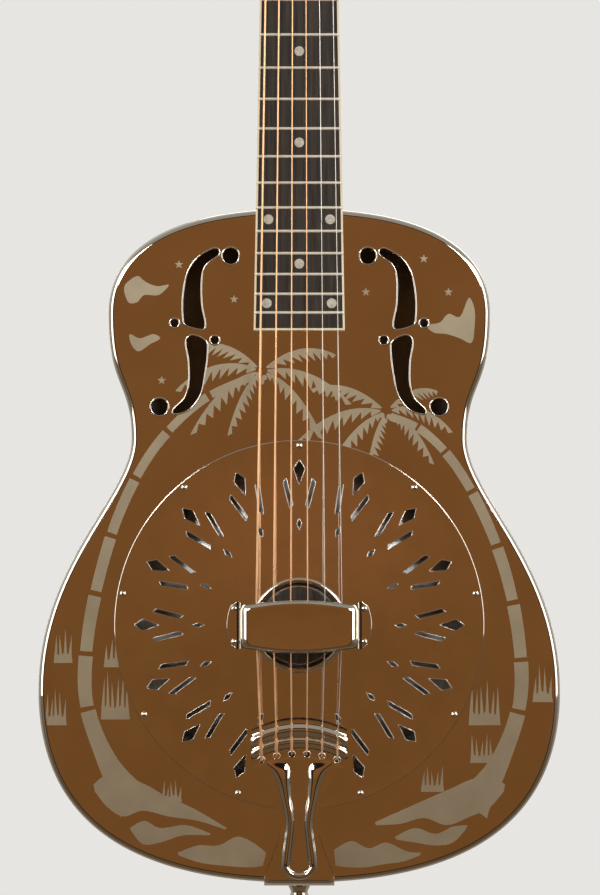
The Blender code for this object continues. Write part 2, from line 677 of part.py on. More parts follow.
def coil(i):
    """The roller's centre, the radius of the winding and its path, in the headstock's frame."""
    side, place = string_side(i)
    r = STRING_RADII[i]
    radius = (ROLLER_RADIUS + 0.15 + r) / math.cos(math.pi / 9)
    centre = Vector((ROLLER_Y, ROLLER_Z[place]))
    start = HEAD.inverted() @ NECK @ Vector(((i - 2.5) * NUT_PITCH, -NUT_ACTION - r, 0))
    reach = Vector((start.y, start.z)) - centre
    first = math.atan2(reach.y, -reach.x) + math.acos(radius / reach.length)
    x = side * (22.6, 20.0, 18.4)[place]
    pitch = 2 * r + 0.25
    path = []
    for step in range(23):
        turn = first + 2 * math.pi * step / 9
        path.append(
            Vector((x - side * pitch * step / 9, centre.x - radius * math.cos(turn),
                    centre.y + radius * math.sin(turn)))
        )
    return path


def string_break(i):
    """Where a string leaves the nut, and where it meets its roller, in the neck's frame."""
    start = Vector(((i - 2.5) * NUT_PITCH, -NUT_ACTION - STRING_RADII[i], 0))
    return start, NECK.inverted() @ HEAD @ coil(i)[0]


def strings():
    for i, r in enumerate(STRING_RADII):
        start, _ = string_break(i)
        x = (i - 2.5) * TAIL_PITCH
        hole = tail_hole_down(x)
        path = [
            front(x, hole, 7.6),
            front(x, hole, TAIL_HIGH + r - 0.6),
            front(x, hole - 0.8, TAIL_HIGH + r + 0.9),
            front(x, hole - 3.5, TAIL_HIGH + r + 2.2),
            front((i - 2.5) * SADDLE_PITCH, CENTRE_DOWN, saddle_high() + r),
            NECK @ start,
        ]
        path += [HEAD @ p for p in coil(i)]
        slot = "bronze" if i < 4 else "steel"
        solid(f"string_{6 - i}", *tube(path, r, 5), slot, smooth=60)


def wheel(x, z):
    """A gear wheel whose teeth lean with the worm's thread."""
    rings = []
    lean = WORM_LEAD / (2 * math.pi * WORM_PITCH) / WHEEL_PITCH
    for off in (-WHEEL_WIDTH / 2, WHEEL_WIDTH / 2):
        ring = []
        for i in range(TEETH):
            # A gap is centred on the worm, which lies straight below the wheel.
            middle = 2 * math.pi * (i + 0.5) / TEETH + off * lean
            for r, half in ((WHEEL_ROOT, 0.74), (WHEEL_TIP, 0.26), (WHEEL_TIP, -0.26), (WHEEL_ROOT, -0.74)):
                a = middle - half / r
                ring.append(Vector((x + off, ROLLER_Y + r * math.sin(a), z - r * math.cos(a))))
        rings.append(ring)
    return loft(rings)


def worm(x, z):
    """The thread's ridge, right-handed, with its crest at the wheel's middle when it points up."""
    rings = []
    steps = 8
    for i in range(-12, 13):
        turn = 2 * math.pi * i / steps
        y = ROLLER_Y + WORM_LEAD * i / steps
        ring = []
        for r, off in ((1.2, -0.86), (WORM_TIP, -0.2), (WORM_TIP, 0.2), (1.2, 0.86)):
            ring.append(Vector((x + r * math.sin(turn), y + off, z + r * math.cos(turn))))
        rings.append(ring)
    return loft(rings)


def tuners():
    for side, name in ((-1, "left"), (1, "right")):
        inner, outer = HEAD_HALF + GAP, HEAD_HALF + GAP + 1.4
        x = sorted((side * inner, side * outer))
        plate = solid(f"tuner_plate_{name}", *box(x, (1, 14), (44, 146)), "nickel", HEAD)
        lugs, holes = [], []
        for z in ROLLER_Z:
            for y in ((1.2, 2.6), (12.4, 13.8)):
                across = sorted((side * (outer - 0.7), side * 47.2))
                lugs.append(box(across, y, (z - GEAR_DROP - 3.8, z - GEAR_DROP + 3.8)))
            holes.append(rod((side * 36, ROLLER_Y, z), (side * 41, ROLLER_Y, z), 2.5, 10))
            holes.append(rod((side * GEAR_X, -2, z - GEAR_DROP), (side * GEAR_X, 18, z - GEAR_DROP), 1.8, 10))
        cut(plate, joined(lugs), "UNION", HEAD)
        cut(plate, joined(holes), frame=HEAD)

    for i in range(6):
        side, place = string_side(i)
        z = ROLLER_Z[place]
        x = side * GEAR_X
        axle = [(6.4, 3.6), (7.2, ROLLER_RADIUS), (HEAD_HALF - 0.2, ROLLER_RADIUS), (HEAD_HALF - 0.1, 2.2),
                (GEAR_X + 1.9, 2.2), (GEAR_X + 2.2, 1.6)]
        rings = []
        for reach, r in axle:
            rings.append([Vector((side * reach, ROLLER_Y + u, z + v)) for u, v in circle(r, 12)])
        roller = solid(f"string_roller_{6 - i}", *loft(rings), "nickel", HEAD, smooth=40)
        cut(roller, wheel(x, z), "UNION", HEAD)
        set_origin(roller, HEAD @ Vector((x, ROLLER_Y, z)))

        low = z - GEAR_DROP
        shaft = [(0.3, 1.5), (2.9, 1.5), (2.95, WORM_CORE), (12.05, WORM_CORE), (12.1, 1.5), (19.5, 1.5),
                 (19.8, 3.0), (21.5, 3.2)]
        rings = []
        for y, r in shaft:
            rings.append([Vector((x + u, y, low + v)) for u, v in circle(r, 10)])
        for y, wide, tall in ((23, 3.9, 6.6), (27, 4.5, 8.4), (31, 4.1, 7.4), (34, 2.4, 4.6)):
            rings.append([Vector((x + u * wide, y, low + v * tall)) for u, v in circle(1, 10)])
        key = solid(f"tuner_key_{6 - i}", *loft(rings), "nickel", HEAD, smooth=50)
        cut(key, worm(x, low), "UNION", HEAD)
        set_origin(key, HEAD @ Vector((x, ROLLER_Y, low)))


body()
resonator()
hand_rest()
tailpiece()
stick()
neck()
fingerboard()
strings()
tuners()
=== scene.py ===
"""A polished metal resonator guitar: the looks of each piece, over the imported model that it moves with."""

import json
import math

import bmesh
import bpy
from mathutils import Matrix, Vector
from mathutils.geometry import delaunay_2d_cdt

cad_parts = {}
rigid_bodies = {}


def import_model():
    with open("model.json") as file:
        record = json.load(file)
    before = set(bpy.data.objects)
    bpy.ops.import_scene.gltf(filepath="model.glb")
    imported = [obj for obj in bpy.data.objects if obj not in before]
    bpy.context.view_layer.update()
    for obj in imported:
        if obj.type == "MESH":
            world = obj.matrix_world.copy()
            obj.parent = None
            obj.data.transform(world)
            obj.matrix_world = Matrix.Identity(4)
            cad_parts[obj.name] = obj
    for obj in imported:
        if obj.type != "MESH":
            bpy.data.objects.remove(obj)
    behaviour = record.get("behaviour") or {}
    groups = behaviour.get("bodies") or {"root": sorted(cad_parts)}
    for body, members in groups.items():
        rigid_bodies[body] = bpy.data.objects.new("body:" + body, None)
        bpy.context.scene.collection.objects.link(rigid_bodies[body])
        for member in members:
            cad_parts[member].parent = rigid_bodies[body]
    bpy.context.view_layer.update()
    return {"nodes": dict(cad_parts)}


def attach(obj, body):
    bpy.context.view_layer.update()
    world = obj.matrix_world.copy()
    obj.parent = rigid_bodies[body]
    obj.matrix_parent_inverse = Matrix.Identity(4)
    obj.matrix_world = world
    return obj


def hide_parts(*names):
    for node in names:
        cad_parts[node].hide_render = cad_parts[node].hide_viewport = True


for old in list(bpy.data.objects):
    bpy.data.objects.remove(old, do_unlink=True)
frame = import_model()
CAD = frame["nodes"]

# Sizes in millimetres. "down" is the distance below the nut, "high" the height in front of the top plate.
MM = 0.001
TOP_Y = -20.0
SCALE_LENGTH = 647.7
BODY_START, BODY_END, BODY_DEPTH = 359.2, 825.0, 83.0
EDGE = 4.5
CENTRE = 646.8
COVER_RADIUS, COVER_RISE, COVER_FLAT, COVER_EDGE = 127.7, 7.5, 1.3, 0.7
COVER_SCREW_RADIUS, TOP_HOLE, SHEET = 123.6, 120.6, 1.0
OPENING, LIP = 29.0, 32.7
PIN_HIGH = -40.5
NECK_TILT, HEAD_TILT = math.radians(1.8), math.radians(14.0)
BOARD_HIGH, BOARD_THICK, BOARD_LENGTH = 8.0, 6.0, 443.7
NUT_WIDTH, BOARD_TAPER, BINDING, NUT_DEPTH = 46.7, 0.0363, 1.5, 4.7
ROD_Y, ROD_SCREW_X, ROD_SCREW_Z = 13.2, 7.4, 14
HEAD_THICK, HEAD_HALF, HEAD_LENGTH = 15.0, 38.0, 188.0
SLOT_INNER, SLOT_OUTER, SLOT_LOW, SLOT_HIGH = 9.5, 25.5, 28.0, 152.0
ROLLER_Z, ROLLER_Y, ROLLER_RADIUS = (60.0, 97.0, 134.0), 7.5, 4.5
COIL_X = (22.6, 20.0, 18.4)
PLATE_SCREW_Z = (48.2, 70.6, 107.6, 141.8)
TEETH, MODULE = 15, 0.7
WHEEL_TIP, WHEEL_ROOT, WHEEL_WIDTH = 5.8, 4.45, 2.5
WORM_PITCH, WORM_TIP, WORM_CORE = 2.4, 3.0, 1.7
WORM_LEAD = math.pi * MODULE
GEAR_X, GEAR_DROP = 43.15, TEETH * MODULE / 2 + WORM_PITCH
STRING_RADII = (0.71, 0.57, 0.445, 0.33, 0.23, 0.2)
NUT_PITCH, SADDLE_PITCH, TAIL_PITCH = 8.05, 11.8, 10.4
NUT_ACTION, SADDLE_ACTION, TAIL_HIGH = 1.4, 5.4, 11.4
TAIL_HOLES = [((i - 2.5) * TAIL_PITCH, 735.2 + 0.0058 * ((i - 2.5) * TAIL_PITCH) ** 2) for i in range(6)]
HOLE_RADIUS = 2.35
DOT_FRETS = (3, 5, 7, 9, 12, 15, 17, 19)
SIDES = ((-1, "left"), (1, "right"))

NECK = (
    Matrix.Translation((0, TOP_Y - BOARD_HIGH, -BODY_START))
    @ Matrix.Rotation(-NECK_TILT, 4, "X")
    @ Matrix.Translation((0, 0, BODY_START))
)
HEAD = NECK @ Matrix.Translation((0, BOARD_THICK + 0.3, 0)) @ Matrix.Rotation(-HEAD_TILT, 4, "X")
FORWARD = Vector((0, -1, 0))


# ---------------------------------------------------------------- materials


class Nodes:
    """A node tree, with short calls that add to it."""

    def __init__(self, tree):
        self.tree = tree

    def join(self, socket, value):
        if isinstance(value, bpy.types.NodeSocket):
            self.tree.links.new(value, socket)
        else:
            socket.default_value = value

    def node(self, kind, values=None, **settings):
        made = self.tree.nodes.new(kind)
        for key, value in settings.items():
            setattr(made, key, value)
        for key, value in (values or {}).items():
            self.join(made.inputs[key], value)
        return made

    def mix(self, amount, a, b):
        made = self.node("ShaderNodeMix", data_type="RGBA")
        for place, value in ((0, amount), (6, a), (7, b)):
            self.join(made.inputs[place], (*value, 1) if isinstance(value, tuple) else value)
        return made.outputs[2]

    def spread(self, value, low, high, start=0.3, end=0.7, **settings):
        values = {"Value": value, "From Min": start, "From Max": end, "To Min": low, "To Max": high}
        return self.node("ShaderNodeMapRange", values, **settings).outputs[0]


class Paint(Nodes):
    """A material made from nodes, with its textures in the object's own metres."""

    def __init__(self, name, metallic=0.0, **sockets):
        self.made = bpy.data.materials.new(name)
        self.made.use_nodes = True
        super().__init__(self.made.node_tree)
        self.shader = self.tree.nodes["Principled BSDF"]
        for key, value in {"Metallic": metallic, **sockets}.items():
            self.shader.inputs[key.replace("_", " ")].default_value = value
        self.place = self.node("ShaderNodeTexCoord").outputs["Object"]

    def stretched(self, scale, move=(0, 0, 0)):
        values = {"Vector": self.place, "Location": move, "Scale": scale}
        return self.node("ShaderNodeMapping", values).outputs[0]

    def noise(self, scale, detail=2.0, vector=None, distortion=0.0):
        values = {"Vector": vector or self.place, "Scale": scale, "Detail": detail, "Distortion": distortion}
        return self.node("ShaderNodeTexNoise", values).outputs["Fac"]

    def ramp(self, value, *colours):
        made = self.node("ShaderNodeValToRGB", {"Fac": value})
        stops = made.color_ramp.elements
        for i, (place, colour) in enumerate(colours):
            stop = stops[i] if i < 2 else stops.new(place)
            stop.position = place
            stop.color = (*colour, 1)
        return made.outputs[0]

    def bump(self, height, distance, strength=1.0, normal=None):
        values = {"Height": height, "Distance": distance, "Strength": strength}
        if normal:
            values["Normal"] = normal
        return self.node("ShaderNodeBump", values).outputs[0]

    def rounded(self, normal, edge):
        """The normal, softened over sharp edges that wide."""
        if not edge:
            return normal
        return self.node("ShaderNodeBevel", {"Radius": edge, "Normal": normal}, samples=4).outputs[0]

    def out(self, colour, rough, normal):
        for key, value in (("Base Color", colour), ("Roughness", rough), ("Normal", normal)):
            self.tree.links.new(value, self.shader.inputs[key])
        return self.made


def polished(name, light, dark, smooth=0.03, dull=0.09, wave=0.00012, smudge=26, metallic=1.0):
    """Plated metal with faint smudges and the slight waviness of thin sheet."""
    paint = Paint(name, metallic)
    patches = paint.noise(smudge, 4)
    normal = paint.bump(paint.noise(900, 2), 0.000004, 0.2, paint.bump(paint.noise(14, 1), wave, 0.6))
    colour = paint.ramp(patches, (0.3, dark), (0.7, light))
    return paint.out(colour, paint.spread(patches, smooth, dull), normal)


def frosted(name, light, dark):
    """The etched parts of the plating: matt, paler, with a fine grain."""
    paint = Paint(name, 1.0)
    grain = paint.noise(2600, 3)
    colour = paint.ramp(paint.noise(40, 4), (0.3, dark), (0.7, light))
    return paint.out(colour, paint.spread(grain, 0.40, 0.52), paint.bump(grain, 0.00003, 0.5))


def timber(name, dark, middle, light, coat=0.0, rough=(0.3, 0.45), across=(60, 60, 3.2), pores=0.00008,
           edge=0.0):
    """Wood with its grain along z, open pores and a slow change of tone."""
    paint = Paint(name, Coat_Weight=coat, Coat_Roughness=0.06)
    grain = paint.noise(4.0, 6, paint.stretched(across), 0.6)
    streaks = paint.noise(9.0, 3, paint.stretched((110, 110, 2.0)))
    colour = paint.ramp(grain, (0.28, dark), (0.72, light), (0.5, middle))
    colour = paint.mix(paint.spread(streaks, 0.0, 0.45, 0.45, 0.75), colour, dark)
    normal = paint.rounded(paint.bump(streaks, pores, 0.5), edge)
    return paint.out(colour, paint.spread(grain, *rough), normal)


def plastic(name, light, dark, rough=(0.18, 0.3), streak=(300, 300, 8), edge=0.0):
    """Moulded plastic or bone with faint veins."""
    paint = Paint(name)
    vein = paint.noise(3.0, 5, paint.stretched(streak), 0.8)
    normal = paint.rounded(paint.bump(paint.noise(700, 2), 0.00001, 0.3), edge)
    return paint.out(paint.ramp(vein, (0.3, dark), (0.7, light)), paint.spread(vein, *rough), normal)


def spun(name, light, dark):
    """Spun sheet metal with fine rings round the cone's middle."""
    paint = Paint(name, 0.9)
    place = paint.stretched((1, 0, 1), (0, 0, CENTRE * MM))
    values = {"Vector": place, "Scale": 900.0, "Distortion": 0.6, "Detail": 2.0}
    rings = paint.node("ShaderNodeTexWave", values, wave_type="RINGS", rings_direction="Y").outputs["Fac"]
    colour = paint.ramp(paint.noise(60, 3), (0.3, dark), (0.7, light))
    return paint.out(colour, paint.spread(rings, 0.25, 0.43, 0, 1), paint.bump(rings, 0.00003, 0.5))


def wire(name, light, dark, pitch, depth):
    """A string's metal, with its winding as fine bands: a bump, and painted shade that darkens the grooves
    between turns.
    """
    paint = Paint(name, 0.75)
    values = {"Vector": paint.place, "Scale": pitch}
    turns = paint.node("ShaderNodeTexWave", values, bands_direction="Z").outputs["Fac"]
    tone = paint.noise(35, 3)
    metal = paint.ramp(tone, (0.3, dark), (0.7, light))
    # Painted shade: the colour darkens a little along the bands, in the grooves of the winding
    colour = paint.mix(paint.spread(turns, 0.0, 0.15, 0, 1), metal, dark)
    return paint.out(colour, paint.spread(tone, 0.26, 0.38), paint.bump(turns, depth, 0.6))


def pearl(name):
    """Shell with swirls of light and small cells."""
    paint = Paint(name, Coat_Weight=0.6, Coat_Roughness=0.05)
    values = {"Vector": paint.place, "Scale": 420.0}
    cells = paint.node("ShaderNodeTexVoronoi", values, feature="SMOOTH_F1").outputs["Distance"]
    swirl = paint.noise(260, 4, None, 2.5)
    dark, middle, light = (0.38, 0.35, 0.29), (0.48, 0.46, 0.41), (0.62, 0.58, 0.50)
    colour = paint.ramp(swirl, (0.3, dark), (0.7, light), (0.5, middle))
    return paint.out(colour, paint.spread(cells, 0.15, 0.3, 0, 0.6), paint.bump(swirl, 0.00003, 0.4))


NICKEL = polished("nickel_body", (0.76, 0.72, 0.66), (0.70, 0.66, 0.59))
TRIM = polished("nickel_trim", (0.78, 0.74, 0.68), (0.72, 0.68, 0.62), 0.025, 0.07, 0.00004, 60)
BRIGHT = polished("nickel_hardware", (0.82, 0.79, 0.74), (0.72, 0.69, 0.64), 0.05, 0.14, 0.00002, 220)
# A darker, rougher copy of the plating for insides, undersides and hole walls: its darker colour is painted
# shade
SHADED_NICKEL = polished("nickel_painted_shade", (0.40, 0.36, 0.30), (0.28, 0.25, 0.20), 0.3, 0.5, 0.0001, 50)
STEEL = polished("turned_steel", (0.62, 0.62, 0.64), (0.48, 0.48, 0.50), 0.16, 0.3, 0.00002, 300)
FRET = polished("fret_wire", (0.92, 0.87, 0.76), (0.84, 0.79, 0.68), 0.28, 0.4, 0.00001, 400, 0.4)
ETCHED = frosted("nickel_etched", (0.56, 0.51, 0.375), (0.47, 0.425, 0.31))
CONE = spun("cone_aluminium", (0.96, 0.95, 0.93), (0.88, 0.87, 0.85))
BRONZE = wire("wound_bronze", (0.98, 0.62, 0.36), (0.80, 0.46, 0.25), 1100.0, 0.000018)
PLAIN = wire("plain_steel", (0.90, 0.87, 0.82), (0.74, 0.71, 0.67), 300.0, 0.000004)
PEARL = pearl("pearl")
IVORY = plastic("ivory_plastic", (0.80, 0.72, 0.54), (0.70, 0.61, 0.42))
BONE = plastic("bone", (0.84, 0.79, 0.66), (0.74, 0.67, 0.52), edge=0.0004)
BLACK = plastic("black_plastic", (0.020, 0.019, 0.018), (0.010, 0.009, 0.009), (0.12, 0.22), (40, 40, 40),
                0.0005)
MAHOGANY = timber("mahogany_lacquered", (0.045, 0.014, 0.006), (0.11, 0.036, 0.013), (0.17, 0.062, 0.022),
                  0.9, (0.32, 0.45), edge=0.0011)
BARE_MAHOGANY = timber("mahogany_bare", (0.16, 0.07, 0.03), (0.27, 0.13, 0.06), (0.36, 0.18, 0.09),
                       0.0, (0.55, 0.7))
MAPLE = timber("maple", (0.40, 0.25, 0.12), (0.58, 0.39, 0.20), (0.68, 0.49, 0.28),
               0.0, (0.45, 0.6), (90, 90, 9), edge=0.0004)
SPRUCE = timber("spruce", (0.50, 0.33, 0.17), (0.70, 0.51, 0.30), (0.78, 0.60, 0.38),
                0.0, (0.6, 0.75), (160, 30, 2))
# The biscuit's near-black colour is painted shade, for where it lies in shade under the hand rest; its grain
# is the wood's own
BISCUIT_PAINTED_SHADE = timber("biscuit_wood_painted_shade", (0.006, 0.005, 0.004), (0.018, 0.014, 0.010), (0.045, 0.034, 0.024),
                  0.2, (0.4, 0.6), (150, 150, 6))
BOARD = timber("dark_fingerboard", (0.006, 0.004, 0.003), (0.017, 0.012, 0.008), (0.038, 0.026, 0.016),
               0.0, (0.38, 0.55), (130, 130, 4.5), 0.0001)
VENEER = timber("black_veneer", (0.006, 0.005, 0.004), (0.013, 0.011, 0.009), (0.024, 0.019, 0.015),
                0.9, (0.3, 0.4))


# ---------------------------------------------------------------- shapes


def front(x, down, high):
    """A point by its place across, below the nut, and in front of the top plate."""
    return Vector((x, TOP_Y - high, -down))


def outward(mesh):
    """Turns all faces of a closed mesh outwards."""
    shape = bmesh.new()
    shape.from_mesh(mesh)
    bmesh.ops.recalc_face_normals(shape, faces=shape.faces)
    shape.to_mesh(mesh)
    shape.free()


def crease(mesh, angle):
    """Smooth shading, but sharp at edges that turn more than angle degrees."""
    mesh.shade_smooth()
    mesh.set_sharp_from_angle(angle=math.radians(angle))


def piece(name, shape, paints, nodes=(), body="frame", normals=None, slots=None, angle=35, place=None):
    """One shown piece, from points in millimetres: an open sheet if given normals, else a closed body."""
    points, faces = shape
    if normals:
        turned = []
        for face in faces:
            a, b, c = (points[i] for i in (face[0], face[1], face[-1]))
            facing = (b - a).cross(c - a).dot(sum((normals[i] for i in face), Vector()))
            turned.append(face if facing >= 0 else face[::-1])
        faces = turned
    mesh = bpy.data.meshes.new(name)
    mesh.from_pydata([(place @ Vector(p) if place else Vector(p)) * MM for p in points], [], faces)
    for paint in paints if isinstance(paints, list) else [paints]:
        mesh.materials.append(paint)
    if slots:
        mesh.polygons.foreach_set("material_index", slots)
    if normals:
        mesh.shade_smooth()
        mesh.normals_split_custom_set_from_vertices(normals)
    else:
        outward(mesh)
        crease(mesh, angle)
    made = bpy.data.objects.new(name, mesh)
    bpy.context.scene.collection.objects.link(made)
    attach(made, body)
    if nodes:
        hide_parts(*nodes)
    return made


def carve(target, shape, operation="DIFFERENCE", place=None):
    """A Boolean on a closed piece, applied at once."""
    points, faces = shape
    mesh = bpy.data.meshes.new("cutter")
    mesh.from_pydata([(place @ Vector(p) if place else Vector(p)) * MM for p in points], [], faces)
    outward(mesh)
    helper = bpy.data.objects.new("cutter", mesh)
    bpy.context.scene.collection.objects.link(helper)
    step = target.modifiers.new("carve", "BOOLEAN")
    step.operation, step.solver, step.object = operation, "EXACT", helper
    done = bpy.data.meshes.new_from_object(target.evaluated_get(bpy.context.evaluated_depsgraph_get()))
    target.modifiers.remove(step)
    target.data = done
    bpy.data.objects.remove(helper, do_unlink=True)


def bevelled(target, width, angle=30):
    step = target.modifiers.new("rounded", "BEVEL")
    step.width, step.segments, step.limit_method = width * MM, 2, "ANGLE"
    step.angle_limit = math.radians(angle)


def loft(rings, caps=True):
    """Points and faces through closed rings of equal length."""
    count = len(rings[0])
    faces = []
    for i in range(0, (len(rings) - 1) * count, count):
        for j in range(count):
            k = (j + 1) % count
            faces.append((i + j, i + k, i + count + k, i + count + j))
    if caps:
        faces += [tuple(range(count)), tuple(range((len(rings) - 1) * count, len(rings) * count))]
    return [p for ring in rings for p in ring], faces


def joined(parts):
    points, faces = [], []
    for more, these in parts:
        faces += [tuple(i + len(points) for i in face) for face in these]
        points += more
    return points, faces


def circle(radius, sides, turn=0.0, across=0.0, down=0.0):
    angles = [turn + 2 * math.pi * i / sides for i in range(sides)]
    return [(across + radius * math.cos(a), down + radius * math.sin(a)) for a in angles]


def lathe(profile, across, down, sides=24, closed=False):
    """A profile of (radius, high) spun about a line that points to the front."""
    profile = profile + profile[:1] * closed
    rings = [[front(x, d, h) for x, d in circle(max(r, 0.01), sides, 0, across, down)] for r, h in profile]
    return loft(rings, caps=not closed)


def turned_along(profile, to_point, sides):
    """A profile of (radius, place along) with each circle set out by to_point(u, v, along)."""
    return [[to_point(u, v, along) for u, v in circle(r, sides)] for r, along in profile]


def tube(path, radius, sides=12, ring=False):
    """A round bar along a path; ring joins its ends."""
    path = [Vector(p) for p in path]
    rings, side = [], None
    for i, here in enumerate(path):
        before = path[i - 1] if ring or i else here
        after = path[(i + 1) % len(path)] if ring or i + 1 < len(path) else here
        along = (after - before).normalized()
        side = FORWARD if ring else side or along.orthogonal()
        side = (side - along * side.dot(along)).normalized()
        rings.append([here + side * u + along.cross(side) * v for u, v in circle(radius, sides)])
    return loft(rings + rings[:1] * ring, caps=not ring)


def prism(outline, low, high, to_point):
    """A flat outline raised from low to high, with each corner placed by to_point(u, v, level)."""
    return loft([[to_point(u, v, w) for u, v in outline] for w in (low, high)])


def box(x, y, z):
    corners = [(x[0], y[0]), (x[1], y[0]), (x[1], y[1]), (x[0], y[1])]
    return prism(corners, *z, lambda a, b, c: Vector((a, b, c)))


def bezier(a, b, c, d, steps, last=False):
    found = []
    for i in range(steps + last):
        t = i / steps
        u = 1 - t
        shares = (u**3, 3 * u * u * t, 3 * u * t * t, t**3)
        found.append(tuple(sum(k * p[n] for k, p in zip(shares, (a, b, c, d))) for n in (0, 1)))
    return found


def smooth_path(stations, steps, closed=True):
    """A smooth curve through a few stations."""
    found, count = [], len(stations)
    for i in range(count if closed else count - 1):
        near = [(i + k) % count if closed else min(max(i + k, 0), count - 1) for k in (-1, 0, 1, 2)]
        a, b, c, d = (Vector(stations[k]) for k in near)
        for j in range(steps):
            t = j / steps
            at = b * 2 + (c - a) * t + (a * 2 - b * 5 + c * 4 - d) * t * t + (b * 3 - a - c * 3 + d) * t**3
            found.append(tuple(at / 2))
    return found if closed else found + [tuple(stations[-1])]


def runs_round(loop):
    """Whether a loop's area counts as positive."""
    return sum(a[0] * b[1] - b[0] * a[1] for a, b in zip(loop, [*loop[1:], loop[0]])) > 0


def cut_out(outline, holes=(), designs=(), extra=()):
    """Triangles of a flat sheet: its points, its faces, and for each face whether it lies in a design."""
    points, loops = [Vector(p) for p in extra], []
    for loop in [outline, *holes, *designs]:
        order = list(range(len(points), len(points) + len(loop)))
        loops.append(order if runs_round(loop) else order[::-1])
        points += [Vector(p) for p in loop]
    found = delaunay_2d_cdt(points, [], loops, 1, 1e-5)
    first_design = 1 + len(holes)
    faces, marked = [], []
    for face, origins in zip(found[2], found[5]):
        if 0 in origins and not any(0 < i < first_design for i in origins):
            faces.append(tuple(face))
            marked.append(int(any(i >= first_design for i in origins)))
    return found[0], faces, marked


def heading(path, i, closed=False):
    """The direction of a path of (across, down) at one of its points."""
    after = (i + 1) % len(path) if closed else min(i + 1, len(path) - 1)
    before = i - 1 if closed else max(i - 1, 0)
    return (Vector(path[after]) - Vector(path[before])).normalized()


def body_outline():
    """Points right round the body: (across, down, outward across, outward down)."""
    shoulder, waist, bout = (131.8, 432), (115.8, 518.2), (180.2, 692)
    right = (
        bezier((0, BODY_START), (92.8, BODY_START), (131.8, 388.7), shoulder, 36)
        + bezier(shoulder, (131.8, 483.4), (115.8, 478.4), waist, 18)
        + bezier(waist, (115.8, 557.6), (180.2, 604.2), bout, 30)
        + bezier(bout, (180.2, 762.9), (141.8, BODY_END), (0, BODY_END), 44, True)
    )
    points = right + [(-x, d) for x, d in right[-2:0:-1]]
    turns = [heading(points, i, True) for i in range(len(points))]
    return [(x, d, along.y, -along.x) for (x, d), along in zip(points, turns)]


OUTLINE = body_outline()


def edge_rings(flat_high, toward, steps=8):
    """A plate's rounded edge, from its flat face to the side of the body, and its normals."""
    rings, normals = [], []
    for i in range(steps + 1):
        turn = math.pi / 2 * i / steps
        inset, high = EDGE * (1 - math.sin(turn)), flat_high + toward * EDGE * (1 - math.cos(turn))
        rings.append([front(x - nx * inset, d - nd * inset, high) for x, d, nx, nd in OUTLINE])
        normals += [Vector((nx * math.sin(turn), toward * math.cos(turn), -nd * math.sin(turn))).normalized()
                    for x, d, nx, nd in OUTLINE]
    return loft(rings, caps=False), normals


def flat_sheet(name, inset, high, toward, paints, holes, designs=(), nodes=(), rim=None):
    """A sheet inside the body's outline, with cut-outs, etched designs and perhaps a rim at its edge."""
    inner = [(x - nx * inset, d - nd * inset) for x, d, nx, nd in OUTLINE]
    flat, faces, marked = cut_out(inner, holes, designs)
    normals = [-FORWARD * toward] * len(flat)
    shape = [front(*p, high) for p in flat], faces
    if rim:
        shape, normals = joined([shape, rim[0]]), normals + rim[1]
        marked += [0] * len(rim[0][1])
    piece(name, shape, paints, nodes, normals=normals, slots=marked)


def walls(name, loops, high, low, paint, outward_sign=-1):
    """The cut edges of a sheet's holes. high and low are heights by place."""
    points, faces, normals = [], [], []
    for loop in loops:
        count, start = len(loop), len(points)
        sign = outward_sign if runs_round(loop) else -outward_sign
        for i, (x, d) in enumerate(loop):
            along = heading(loop, i, True) * sign
            points += [front(x, d, high(x, d)), front(x, d, low(x, d))]
            normals += [Vector((along.y, 0, along.x))] * 2
            a, b = start + 2 * i, start + 2 * ((i + 1) % count)
            faces.append((a, b, b + 1, a + 1))
    piece(name, (points, faces), paint, normals=normals)


def rolled_rims(name, loops, high, radius):
    """A thin bright bead round each hole."""
    parts = [tube([front(x, d, high(x, d)) for x, d in loop], radius, 8, ring=True) for loop in loops]
    piece(name, joined(parts), BRIGHT, angle=60)


# ---------------------------------------------------------------- etched scenes: palms, clouds and a shore


def trunk(stations, base, tip, gaps=7, root=9.0):
    """A palm's trunk in segments over a spreading root, each flaring a little towards its upper end."""
    path = smooth_path(stations, 14, closed=False)
    count = len(path)
    starts = [0] + [int(count * (0.24 + 0.76 * k / gaps)) for k in range(gaps)] + [count]
    shapes = []
    for first, last in zip(starts, starts[1:]):
        part, left, right = path[first:last], [], []
        for i, (x, d) in enumerate(part):
            t = i / (len(part) - 1)
            at = (first + (last - first) * t) / count
            half = (tip + (base - tip) * (1 - at) ** 1.3) * (0.92 + 0.16 * t)
            half += root * max(0.0, 1 - at / 0.22) ** 2
            along = heading(part, i)
            left.append((x - along.y * half, d + along.x * half))
            right.append((x + along.y * half, d - along.x * half))
        shapes.append(left + right[::-1])
    return shapes


def frond(crown, angle, length, droop, width, teeth=9):
    """A drooping leaf: a smooth upper edge and leaflets that hang from its lower edge."""
    a = math.radians(angle)
    reach = Vector((math.cos(a), -math.sin(a)))
    start = Vector(crown) + reach * 4
    bend = start + reach * length * 0.5 + Vector((0, -0.10 * length))
    end = start + Vector((reach.x * length, reach.y * length * 0.55 + droop * length))
    shares = [i / (2 * teeth) for i in range(2 * teeth + 1)]
    spine = [start * (1 - t) ** 2 + bend * 2 * t * (1 - t) + end * t * t for t in shares]
    upper, lower = [], []
    for i, (here, t) in enumerate(zip(spine, shares)):
        along = heading(spine, i)
        side = Vector((-along.y, along.x)) * (1 if along.x >= 0 else -1)
        wide = width * math.sin(math.pi * min(t * 0.9 + 0.08, 1.0)) ** 0.7
        upper.append(tuple(here - side * wide * 0.22))
        lower.append(tuple(here + (side + along * 0.55 if i % 2 else side * 0.16) * wide))
    return upper + lower[::-1]


def star(x, d, r=3.1):
    return [(x + reach * math.sin(a), d - reach * math.cos(a))
            for reach, a in ((r * (0.42 if i % 2 else 1), math.pi * i / 5) for i in range(10))]


